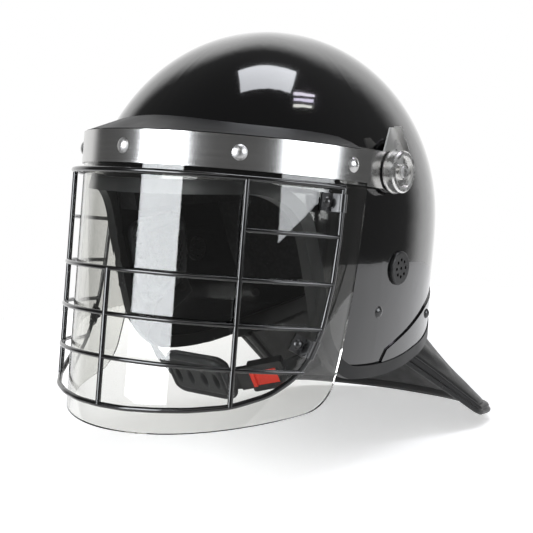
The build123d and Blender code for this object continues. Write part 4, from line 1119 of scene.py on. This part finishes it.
@dataclass
class HelmetShell:
    """Painted shell with its rubber trim, nape strip, ear plugs and foam liner."""

    def dress(self) -> None:
        """Puts the finishes on the shell and the parts fixed to it."""
        SHELL_PAINT.dress("outer_shell")
        TRIM_RUBBER.dress("edge_trim")
        STRIP_VINYL.dress("nape_strip")
        LINER_FOAM.dress("impact_liner")
        RIVET_BLACK.dress("nape_rivets", "strap_rivets")
        PLUG_PLASTIC.dress("ear_plug_left", "ear_plug_right")
        WASHER_STEEL.dress("strap_washers")


@dataclass
class Padding:
    """Comfort pads inside the liner.

    The cheek pad is an outline seen from the side. The brow and nape pads have half their
    width, then the heights of their lower and upper edges.
    """

    cheek: Sequence[Point2] = (
        (-0.076, -0.130), (-0.008, -0.120), (-0.008, -0.184), (-0.058, -0.210),
    )
    cheek_taper: float = 0.006
    crown_half_width: float = 0.053
    crown_half_length: float = 0.0735
    crown_taper: float = 0.007
    brow: Point3 = (0.071, -0.0832, -0.0584)
    nape: Point3 = (0.0455, -0.1868, -0.1506)
    rib_places: Sequence[float] = (-0.5, 0.0, 0.5)
    rib_margin: float = 0.004
    cross_share: float = 0.8

    def band(self, name: str, size: Point3, toward: float) -> Cushion:
        """Rolled pad at the brow or the nape, with sewn ribs across it.

        Args:
            name: CAD node that it stands for.
            size: Half of its width and the heights of its edges.
            toward: Direction from the pad out to the liner, along Y.

        Returns:
            The pad.
        """
        half, low, high = size
        ends = (low + self.rib_margin, high - self.rib_margin)
        ribs = [tuple((x * half, end) for end in ends) for x in self.rib_places]
        outline = ((-half, low), (half, low), (half, high), (-half, high))
        return Cushion(
            name, outline, corner=0.009, axis=1, toward=toward, middle=FRONT_MESH,
            border=0.005, around=150, channels=ribs,
        )

    def build(self) -> list[Piece]:
        """Builds every pad.

        Returns:
            The pads.
        """
        pads = [
            Cushion(
                name, self.cheek, corner=0.012, axis=0, toward=side, middle=SIDE_MESH,
                taper=self.cheek_taper,
            )
            for side, name in ((1.0, "cheek_pad_left"), (-1.0, "cheek_pad_right"))
        ]
        wide, long = self.crown_half_width, self.crown_half_length
        turns = [math.radians(a) for a in range(15, 375, 30)]
        oval = [(wide * math.cos(a), long * math.sin(a)) for a in turns]
        across, down = (wide * self.cross_share, 0.0), (0.0, long * self.cross_share)
        cross = [(tuple(-x for x in end), end) for end in (down, across)]
        pads += [
            Cushion(
                "crown_pad", oval, corner=0.026, axis=2, toward=1.0, middle=TOP_MESH,
                around=140, taper=self.crown_taper, channels=cross,
            ),
            self.band("brow_pad", self.brow, -1.0),
            self.band("nape_pad", self.nape, 1.0),
        ]
        return [pad.build() for pad in pads]


@dataclass
class NeckGuard:
    """Padded leather guard that hangs from inside the rim.

    The bulge at the border and the groove of the seam have their height and width.
    """

    half_width: float = 0.1195
    half_length: float = 0.171
    centre_height: float = -0.126
    skirt_drop: float = 0.136
    fullness: float = 0.675
    width_shares: Sequence[float] = (1, 1, 0.965, 0.89)
    length_shares: Sequence[float] = (1, 1, 0.88, 1.03)
    inset: float = 0.0107
    thickness: float = 0.008
    around_shares: Sequence[float] = (0.25, 0.45, 0.7, 1)
    down_shares: Sequence[float] = (0.904, 0.838, 0.735, 0.668)
    bearings: Sequence[float] = (0, 29, 66, 90)
    bottom_half_width: float = 0.120
    bottom_front: float = 0.166
    bottom_rear: float = 0.247
    bottom_height: float = -0.313
    sag: float = 0.011
    edge_roll: float = 0.005
    bulge_margin: float = 0.0055
    bulge: Point2 = (0.0014, 0.003)
    seam_margin: float = 0.0115
    groove: Point2 = (0.0024, 0.0015)
    crown: float = 0.0012
    crown_run: float = 0.03
    waist: float = 0.0006
    thinnest: float = 0.0004
    pleats: float = 0.0009
    creases: float = 0.0011
    pressure: float = 0.8
    rise: float = 0.0016
    piping: float = 0.0028
    piping_span: Point2 = (0.02, 0.96)
    seam_span: Point2 = (0.03, 0.9)
    stitch_lift: float = 0.0002
    columns: int = 150
    rows: int = 64
    sewn_rows: int = 4
    collar_rows: int = 8
    collar_columns: int = 90
    collar_depths: Point2 = (0.0075, 0.0115)
    collar_bulge: float = 0.0006
    collar_start: float = 0.22
    collar_overlap: float = 0.02
    collar_height: float = 0.125

    def rim_point(self, around: float, down: float, side: int, inset: float) -> Vector:
        """Point on the skirt's surface, moved inwards.

        Args:
            around: Place from the side to the rear, from 0 to 1.
            down: Place down the skirt, from 0 to 1.
            side: 1 on the wearer's left and -1 on the right.
            inset: Distance in from the outer surface.

        Returns:
            The point.
        """
        width, length = self.half_width - inset, self.half_length - inset
        across = cubic((width, width, self.fullness * width, 0), around)
        along = cubic((0, self.fullness * length, length, length), around)
        wide, long = cubic(self.width_shares, down), cubic(self.length_shares, down)
        height = self.centre_height - self.skirt_drop * down
        return Vector((side * across * wide, along * long, height))

    def stations(self) -> tuple[np.ndarray, np.ndarray]:
        """Upper and lower points of the guard at its seven stations.

        Returns:
            The upper points and the lower ones.
        """
        tops, bottoms = [], []
        for k, side in [(k, 1) for k in range(4)] + [(k, -1) for k in (2, 1, 0)]:
            around, down = self.around_shares[k], self.down_shares[k]
            tops.append(self.rim_point(around, down, side, self.inset))
            bearing = math.radians(self.bearings[k])
            rear = math.sin(bearing)
            across = side * self.bottom_half_width * math.cos(bearing)
            along = self.bottom_front + (self.bottom_rear - self.bottom_front) * rear
            bottoms.append(Vector((across, along, self.bottom_height - self.sag * rear)))
        return np.array(tops), np.array(bottoms)

    @staticmethod
    def smooth_line(values: np.ndarray, count: int) -> np.ndarray:
        """Points of a smooth line through given points.

        Args:
            values: Points to pass through.
            count: Number of points to give.

        Returns:
            The points, evenly spread over the stations.
        """
        last = len(values) - 1
        padded = np.vstack((2 * values[0] - values[1], values, 2 * values[-1] - values[-2]))
        line = []
        for at in np.linspace(0, last, count):
            k = min(int(at), last - 1)
            t = at - k
            a, b, c, d = padded[k : k + 4]
            bend = 2 * a - 5 * b + 4 * c - d + t * (3 * (b - c) + d - a)
            line.append(b + 0.5 * t * (c - a + t * bend))
        return np.array(line)

    def folds(self, u: float, v: float) -> float:
        """Height of the soft folds below the rim, in metres.

        Args:
            u: Place across the guard, from 0 to 1.
            v: Place down it, from 0 to 1.

        Returns:
            The height.
        """
        gather = bell(v, 0.1, 0.28)
        waves = ((61, 0.0, 0.5), (37, 1.3, 0.35), (23, 0.4, 0.4))
        wave = sum(math.sin(u * rate + start) * size for rate, start, size in waves)
        broad = math.sin(u * 9.2 + v * 2.3) * 0.6 + math.sin(v * 5.1 + u * 14) * 0.4
        fade = math.sin(math.pi * min(1, v * 1.1))
        return self.pleats * wave * gather + self.creases * broad * fade

    def build(self) -> list[Piece]:
        """Builds the panel, its piping, its stitches and its collar.

        Returns:
            The pieces, the panel first.
        """
        tops, bottoms = self.stations()
        top_line = self.smooth_line(tops, self.columns + 1)
        bottom_line = self.smooth_line(bottoms, self.columns + 1)
        mean = (bottom_line + top_line) / 2
        fall = bottom_line - top_line
        outward = np.cross(fall, np.gradient(mean, axis=0))
        outward /= np.linalg.norm(outward, axis=1, keepdims=True)
        if outward[self.columns // 2][1] < 0:
            outward = -outward
        run = arc(mean)
        length = np.linalg.norm(fall, axis=1)

        def half(column: int, row: int) -> float:
            """Half thickness, thin at the borders and sewn down at the seam.

            Args:
                column: Column of the panel.
                row: Row of the panel.

            Returns:
                Half of the thickness.
            """
            sideways = min(run[column], run[-1] - run[column])
            edge = min(sideways, (1 - row / self.rows) * length[column])
            round_part = max(0.0, 1 - max(0.0, 1 - edge / self.edge_roll) ** 2)
            roll = self.thickness / 2 * math.sqrt(round_part)
            bulge = self.bulge[0] * bell(edge, self.bulge_margin, self.bulge[1])
            groove = self.groove[0] * bell(edge, self.seam_margin, self.groove[1])
            crown = self.crown * min(1.0, max(0.0, edge - self.seam_margin) / self.crown_run)
            return max(self.thinnest, roll + bulge - groove + crown - self.waist)

        points = []
        for sign in (1, -1):
            for row in range(self.rows + 1):
                v = row / self.rows
                for column in range(self.columns + 1):
                    lift = sign * half(column, row) + self.folds(column / self.columns, v)
                    points.append(top_line[column] + fall[column] * v + outward[column] * lift)
        panel = piece("guard_panel", points, slab_faces(self.rows, self.columns), GUARD_LEATHER)
        sewn = range((self.columns + 1) * self.sewn_rows)
        held = [*sewn, *(len(points) // 2 + k for k in sewn)]
        puff(panel, self.pressure, self.rise, held)
        declare(panel, "neck_guard")

        sides = np.linspace(*self.piping_span, 60)
        border = [Vector(top_line[0] + fall[0] * v) for v in sides]
        border += [Vector(p) for p in bottom_line[2:-2]]
        border += [Vector(top_line[-1] + fall[-1] * v) for v in sides[::-1]]
        made = [panel, declare(tube("guard_piping", border, self.piping, GUARD_PIPING))]
        first = int(np.searchsorted(run, self.seam_margin))
        last = int(np.searchsorted(run, run[-1] - self.seam_margin))
        sides = np.linspace(*self.seam_span, 50)
        seam = [(first, v) for v in sides] + [(column, 1.0) for column in range(first, last + 1)]
        seam += [(last, v) for v in sides[::-1]]
        for sign, name in ((1, "guard_stitches_outer"), (-1, "guard_stitches_inner")):
            line, outs = [], []
            for column, v in seam:
                v = min(v, 1 - self.seam_margin / length[column])
                out = outward[column] * sign
                lift = half(column, int(round(v * self.rows)))
                lift += sign * self.folds(column / self.columns, v)
                lift += self.stitch_lift
                line.append(Vector(top_line[column] + fall[column] * v + out * lift))
                outs.append(Vector(out))
            made.append(declare(StitchRow().build(name, line, outs, THREAD)))
        return [*made, self.collar()]

    def collar(self) -> Piece:
        """Leather collar that joins the guard to the shell inside the rim.

        Returns:
            The collar.
        """
        points = []
        rows, columns = self.collar_rows, self.collar_columns
        for depth in self.collar_depths:
            for row in range(rows + 1):
                bulge = self.collar_bulge * math.sin(math.pi * row / rows)
                for column in range(columns + 1):
                    u = column / columns * 2
                    side = 1 if u <= 1 else -1
                    start = self.collar_start
                    around = start + (1 - start) * (u if u <= 1 else 2 - u)
                    low = np.interp(around, self.around_shares, self.down_shares)
                    down = low + self.collar_overlap - (row / rows) * self.collar_height
                    points.append(self.rim_point(around, down, side, depth + bulge))
        made = piece("guard_collar", points, slab_faces(rows, columns), GUARD_LEATHER)
        return declare(made)


@dataclass
class ChinHarness:
    """Webbing straps with a buckle, a keeper and a chin cup, in a slanting plane.

    The cup's seam has its depth as a share, its distance from the edge and its width.
    """

    root: Point2 = (0.108, -0.009)
    knee: Point2 = (0.108, 0.033)
    jaw: Point2 = (0.080, 0.082)
    chin: Point2 = (0.034, 0.106)
    root_y: float = 0.001
    root_z: float = -0.197
    slope: float = 29.68
    knee_bend: float = 0.030
    jaw_bend: float = 0.030
    chin_bend: float = 0.036
    width: float = 0.020
    thickness: float = 0.002
    strap_step: float = 0.0012
    wander: float = 0.00025
    wander_rate: float = 160
    buckle_start: float = 0.32
    buckle_length: float = 0.030
    buckle_wall: float = 0.002
    cup_half_width: float = 0.034
    cup_height: float = 0.042
    cup_thickness: float = 0.004
    cup_corner: float = 0.013
    cup_roll: float = 0.0035
    cup_seam: Point3 = (0.22, 0.006, 0.0011)
    cup_thinnest: float = 0.1
    cup_slots: Sequence[float] = (-0.62, -0.22, 0.22, 0.62)
    slot_half_width: float = 0.0024
    slot_half_height: float = 0.0065
    slot_edge: float = 16
    slot_depth: float = 0.8
    cord: float = 0.0014
    cord_beads: float = 0.0024
    cup_step: float = 0.0005
    cup_rows: int = 56
    weave_face: Sequence[Point2] = (
        (-0.5, 0.3), (-0.46, 0.52), (-0.4, 0.44), (-0.2, 0.5), (0, 0.47), (0.2, 0.5),
        (0.4, 0.44), (0.46, 0.52), (0.5, 0.3),
    )

    def place(self, across: float, ahead: float, up: float) -> Vector:
        """Point of the strap's slanting plane, in the frame.

        Args:
            across: Distance to the wearer's left.
            ahead: Distance to the front.
            up: Distance across the webbing.

        Returns:
            The point.
        """
        turn = math.radians(self.slope)
        y = self.root_y - ahead * math.cos(turn) + up * math.sin(turn)
        z = self.root_z - ahead * math.sin(turn) - up * math.cos(turn)
        return Vector((across, y, z))

    def ribbon(self, name: str, line: Sequence[Point2], node: str) -> Piece:
        """Webbing along a line of the slanting plane.

        Args:
            name: Name of the piece.
            line: Points along it.
            node: CAD node it stands for.

        Returns:
            The webbing.
        """
        profile = [*self.weave_face, *((x, -y) for x, y in reversed(self.weave_face))]
        points, lays, faces = [], [], []
        count = len(profile)
        travelled = 0.0
        for order, spot in enumerate(line):
            run = heading(line, order)
            out = Vector((run.y, -run.x))
            if order:
                travelled += (Vector(spot) - Vector(line[order - 1])).length
            wander = self.wander * math.sin(travelled * self.wander_rate)
            for up, lift in profile:
                flat = Vector(spot) + out * (lift * self.thickness + wander)
                points.append(self.place(flat.x, flat.y, up * self.width))
                lays.append((up * self.width, travelled, 0.0))
        for low in range(0, len(points) - count, count):
            faces += ring_faces(low, low + count, count)
        faces += [tuple(range(count)), tuple(range(len(points) - count, len(points)))]
        made = piece(name, points, faces, STRAP_WEBBING)
        lay = made.data.attributes.new("lay", "FLOAT_VECTOR", "POINT")
        lay.data.foreach_set("vector", np.array(lays, np.float32).ravel())
        return declare(made, node)

    def straps(self) -> list[Piece]:
        """Builds both straps.

        Returns:
            The straps, the one on the wearer's left first.
        """
        along = (Vector(self.chin) - Vector(self.jaw)).normalized()
        entry = self.buckle_length / 2 - self.buckle_wall * 2
        tail = self.buckle_length / 2 + self.buckle_wall * 2
        spot = Vector(self.jaw) + along * (self.jaw_bend * self.buckle_start + entry)
        corners = (self.root, self.knee, self.jaw, tuple(spot - along * entry))
        left = rounded_path(corners, (self.knee_bend, self.jaw_bend), self.strap_step)
        other = [(-x, y) for x, y in (self.chin, self.jaw, self.knee, self.root)]
        bends = (self.chin_bend, self.chin_bend, self.jaw_bend, self.knee_bend)
        corners = (tuple(spot + along * tail), self.chin, *other)
        right = rounded_path(corners, bends, self.strap_step)
        return [
            self.ribbon("strap_left_webbing", left, "chin_strap_left"),
            self.ribbon("strap_right_webbing", right, "chin_strap_right"),
        ]

    def cup_tall(self, across: float) -> float:
        """Half height of the cup at a distance from its middle, with its rounded corners.

        Args:
            across: Distance from the middle.

        Returns:
            The half height.
        """
        beyond = max(0.0, abs(across) - (self.cup_half_width - self.cup_corner))
        corner = math.sqrt(max(0.0, self.cup_corner**2 - beyond**2))
        return self.cup_height / 2 - self.cup_corner + corner

    def cup_hole(self, across: float, up: float) -> float:
        """Share by which a slot sinks the cup's face at a place, from 0 to 1.

        Args:
            across: Distance from the cup's middle.
            up: Height over its middle.

        Returns:
            The share.
        """
        deepest = 0.0
        for middle in self.cup_slots:
            beside = (across - middle * self.cup_half_width) / self.slot_half_width
            away = math.hypot(beside, up / self.slot_half_height)
            deepest = max(deepest, 1 / (1 + math.exp((away - 1) * self.slot_edge)))
        return deepest

    def cup(self) -> list[Piece]:
        """Builds the padded chin cup sewn round the strap, with its slots and corded edge.

        Returns:
            The cup and its cord.
        """
        other = [(-x, y) for x, y in (self.jaw, self.chin)]
        bends = (self.chin_bend, self.chin_bend)
        line = rounded_path((*other, self.chin, self.jaw), bends, self.cup_step)
        line = [p for p in line if abs(p[0]) <= self.cup_half_width]
        outs = []
        for order in range(len(line)):
            run = heading(line, order)
            outs.append(Vector((-run.y, run.x)))
        if outs[len(line) // 2].y < 0:
            outs = [-out for out in outs]
        deep = self.thickness / 2 + self.cup_thickness
        seam_depth, *seam = self.cup_seam
        front, back = [], []
        for spot, out in zip(line, outs):
            tall = self.cup_tall(spot[0])
            for row in range(self.cup_rows + 1):
                up = math.sin((row / self.cup_rows - 0.5) * math.pi) * tall
                edge = min(tall - abs(up), self.cup_half_width - abs(spot[0]))
                roll = math.sqrt(max(0.0, 1 - max(0.0, 1 - edge / self.cup_roll) ** 2))
                thick = roll * (1 - seam_depth * bell(edge, *seam))
                thick = deep * max(self.cup_thinnest, thick)
                sunk = thick * (1 - self.slot_depth * self.cup_hole(spot[0], up))
                for sheet, offset in ((front, sunk), (back, -thick)):
                    flat = Vector(spot) + out * offset
                    sheet.append(self.place(flat.x, flat.y, up))
        faces = slab_faces(len(line) - 1, self.cup_rows)
        cup = piece("cup_cover", front + back, faces, CUP_LEATHER)
        edges = [self.place(*p, self.cup_tall(p[0])) for p in line]
        edges += [self.place(*p, -self.cup_tall(p[0])) for p in reversed(line)]
        rim = np.array([*edges, edges[0]])
        even = evenly(rim, int(arc(rim)[-1] / self.cup_step))
        cord = tube(
            "cup_cord", even, self.cord, CUP_CORD, closed=True, sides=8, beads=self.cord_beads
        )
        return [declare(cup, "chin_cup"), declare(cord)]

    def build(self) -> list[Piece]:
        """Builds the soft parts and dresses the hard ones.

        Returns:
            The soft parts.
        """
        made = self.straps() + self.cup()
        BLACK_NYLON.dress("buckle_body", "buckle_tongue", "strap_keeper")
        LEVER_RED.dress("buckle_lever")
        return made


@dataclass
class FaceShield:
    """Lens, steel band, arms, seal and pivots."""

    def dress(self) -> None:
        """Puts the finishes on the shield and its pivots."""
        LENS_CLEAR.dress("visor_lens")
        BAND_STEEL.dress("visor_band", "visor_arm_left", "visor_arm_right")
        RIVET_STEEL.dress("band_rivets", "pivot_screws", "base_screws")
        SEAL_RUBBER.dress("brow_seal")
        PLATE_STEEL.dress("base_plate_left", "base_plate_right")
        CAP_STEEL.dress("pivot_cap_left", "pivot_cap_right", "back_washers")
        WASHER_STEEL.dress("spring_washers", "pivot_nuts")
        BLACK_NYLON.dress("friction_washers", "pivot_bushes")


@dataclass
class WireGrille:
    """Welded grille with its clips, screws and nuts."""

    def dress(self) -> None:
        """Puts the finishes on the grille and its clips."""
        WIRE_COAT.dress("grille")
        CLIP_COAT.dress("grille_clips", "clip_nuts")
        RIVET_BLACK.dress("clip_screws")


@dataclass(frozen=True)
class Softbox:
    """Rectangular lamp that shows in glossy surfaces, and lights matt ones if it is told to."""

    name: str
    centre: Point3
    aim: Point3
    width: float
    height: float
    radiance: float
    colour: Colour = (1.0, 1.0, 1.0)
    turn: float = 0.0
    lights: bool = True

    def hang(self) -> None:
        """Adds the lamp to the scene."""
        data = bpy.data.lights.new(self.name, "AREA")
        data.shape = "RECTANGLE"
        data.size = self.width
        data.size_y = self.height
        data.energy = self.radiance * math.pi * self.width * self.height
        data.color = self.colour
        lamp = add_object(self.name, data)
        away = (Vector(self.centre) - Vector(self.aim)).to_track_quat("Z", "Y").to_matrix()
        turned = away @ Matrix.Rotation(math.radians(self.turn), 3, "Z")
        lamp.matrix_world = Matrix.LocRotScale(Vector(self.centre), turned.to_quaternion(), None)
        lamp.visible_diffuse = self.lights


@dataclass
class Studio:
    """Camera, lamps, floor and surroundings."""

    camera_place: Point3 = (0.6685, -0.8173, -0.0332)
    right: Point3 = (0.77207, 0.63554, 0.0)
    up: Point3 = (-0.08031, 0.09757, 0.99198)
    back: Point3 = (0.63045, -0.76588, 0.12637)
    lens: float = 81.2
    sensor: float = 36.0
    floor_height: float = -0.327
    table_middle: Point2 = (0.1, 0.3)
    table_radius: float = 0.8
    table_sides: int = 96
    table_fade: Point2 = (0.25, 0.76)
    table_shades: Point2 = (0.5, 1.0)
    table_glint: float = 0.5
    paper_side: Point3 = (-0.634, 0.769, -0.087)
    paper_edge: Point2 = (0.45, 0.68)
    room: Point2 = (0.1, 1.0)
    ambient: float = 0.3
    boxes: Sequence[Softbox] = (
        *(
            Softbox(name, (*spot, CEILING), (*spot, 0.0), *size, radiance, colour, turn)
            for name, spot, size, radiance, colour, turn in (
                ("overhead_box", (0.31, 0.425), (1.08, 0.58), 6.5, (0.93, 0.95, 1.0), 57.0),
                ("ceiling_lamp_1", (0.91, 1.04), (0.5, 0.07), 9.0, (0.92, 0.86, 1.0), 79.0),
                ("ceiling_lamp_2", (1.05, 1.01), (0.5, 0.07), 9.0, (0.86, 0.8, 1.0), 79.0),
                ("ceiling_lamp_3", (1.19, 0.98), (0.5, 0.07), 9.0, (0.95, 0.95, 0.9), 79.0),
            )
        ),
        Softbox(
            "front_box", (-0.16, -1.57, 0.33), (0.035, -0.18, 0.33), 0.96, 1.25, 10.0,
            (0.93, 0.96, 1.0), lights=False,
        ),
        Softbox(
            "side_box", (1.48, 0.17, 0.33), (0.11, -0.095, 0.33), 1.02, 0.9, 5.5,
            (0.93, 0.96, 1.0), lights=False,
        ),
        Softbox("soft_key", (0.9, -1.7, 1.3), (0, 0, -0.1), 1.2, 1.2, 1.2),
    )

    def camera(self) -> None:
        """Sets the camera at the picture's viewing angle."""
        data = bpy.data.cameras.new("camera")
        data.lens = self.lens
        data.sensor_width = self.sensor
        data.clip_start = 0.05
        holder = add_object("camera", data)
        columns = (self.right, self.up, self.back, self.camera_place)
        rows = [[column[k] for column in columns] for k in range(3)]
        holder.matrix_world = Matrix((*rows, (0, 0, 0, 1)))
        bpy.context.scene.camera = holder

    def world(self) -> None:
        """White paper behind the helmet in a dim room, and white wherever the room is seen."""
        world = bpy.data.worlds.new("studio")
        bpy.context.scene.world = world
        world.use_nodes = True
        nodes = Nodes(world.node_tree)
        sky = nodes.add("ShaderNodeBackground")
        nodes.join(sky.outputs[0], nodes.add("ShaderNodeOutputWorld").inputs[0])
        path = nodes.add("ShaderNodeLightPath").outputs
        place = nodes.add("ShaderNodeTexCoord").outputs["Generated"]
        aim = nodes.vector("DOT_PRODUCT", place, self.paper_side)
        room = nodes.span(aim, self.paper_edge, self.room, "SMOOTHSTEP")
        level = nodes.add("ShaderNodeMix")
        level.inputs["A"].default_value = self.ambient
        turned = nodes.maths("MAXIMUM", path["Is Glossy Ray"], path["Glossy Depth"], True)
        nodes.join(turned, level.inputs["Factor"])
        nodes.join(room, level.inputs["B"])
        depth = path["Glossy Depth"]
        straight = nodes.maths("SUBTRACT", path["Is Transmission Ray"], depth, True)
        seen = nodes.maths("MAXIMUM", path["Is Camera Ray"], straight)
        strength = nodes.maths("MAXIMUM", seen, level.outputs["Result"])
        nodes.join(strength, sky.inputs["Strength"])
        sky.inputs["Color"].default_value = (1, 1, 1, 1)

    def floor(self) -> None:
        """Round pale table that keeps the helmet's shadow and fades into the white."""
        graph = Graph("table_paper")
        graph.set(base_color=(0.86, 0.86, 0.86), roughness=0.9, specular_ior_level=0.1)
        path = graph.add("ShaderNodeLightPath").outputs
        white = graph.add("ShaderNodeEmission")
        away = graph.vector("LENGTH", graph.source)
        rim = graph.span(away, self.table_fade, self.table_shades)
        depth = graph.maths("MINIMUM", path["Glossy Depth"], 1.0)
        straight = graph.maths("SUBTRACT", path["Is Transmission Ray"], depth)
        seen = graph.maths("MAXIMUM", path["Is Camera Ray"], straight)
        shown = graph.maths("MULTIPLY", seen, rim)
        turned = graph.maths("MAXIMUM", path["Is Glossy Ray"], depth)
        mirrored = graph.maths("MULTIPLY", turned, self.table_glint)
        graph.join(graph.maths("MAXIMUM", shown, mirrored), white.inputs["Strength"])
        both = graph.add("ShaderNodeAddShader")
        for k, shader in enumerate((graph.shader, white)):
            graph.join(shader.outputs[0], both.inputs[k])
        graph.join(both.outputs[0], graph.output.inputs[0])
        turns = [2 * math.pi * k / self.table_sides for k in range(self.table_sides)]
        radius = self.table_radius
        mesh = bpy.data.meshes.new("table")
        points = [(radius * math.cos(a), radius * math.sin(a), 0.0) for a in turns]
        mesh.from_pydata(points, [], [tuple(range(self.table_sides))])
        mesh.materials.append(graph.material)
        made = add_object("table", mesh)
        made.location = (*self.table_middle, self.floor_height)

    def build(self) -> None:
        """Sets up the whole studio."""
        bpy.context.scene.view_settings.view_transform = "Standard"
        self.camera()
        self.world()
        self.floor()
        for box in self.boxes:
            box.hang()


def main() -> None:
    """Builds and dresses every sub-assembly in order."""
    steps: list[tuple[str, Callable[[], object]]] = [
        ("studio", Studio().build),
        ("shell", HelmetShell().dress),
        ("face shield", FaceShield().dress),
        ("grille", WireGrille().dress),
        ("padding", Padding().build),
        ("neck guard", NeckGuard().build),
        ("chin harness", ChinHarness().build),
    ]
    for name, step in steps:
        made = step()
        for part in made or ():
            log.info("%s: %s with %d faces", name, part.name, len(part.data.polygons))
        log.info("%s is done", name)


if __name__ == "__main__":
    logging.basicConfig(level=logging.INFO, format="%(message)s")
    main()
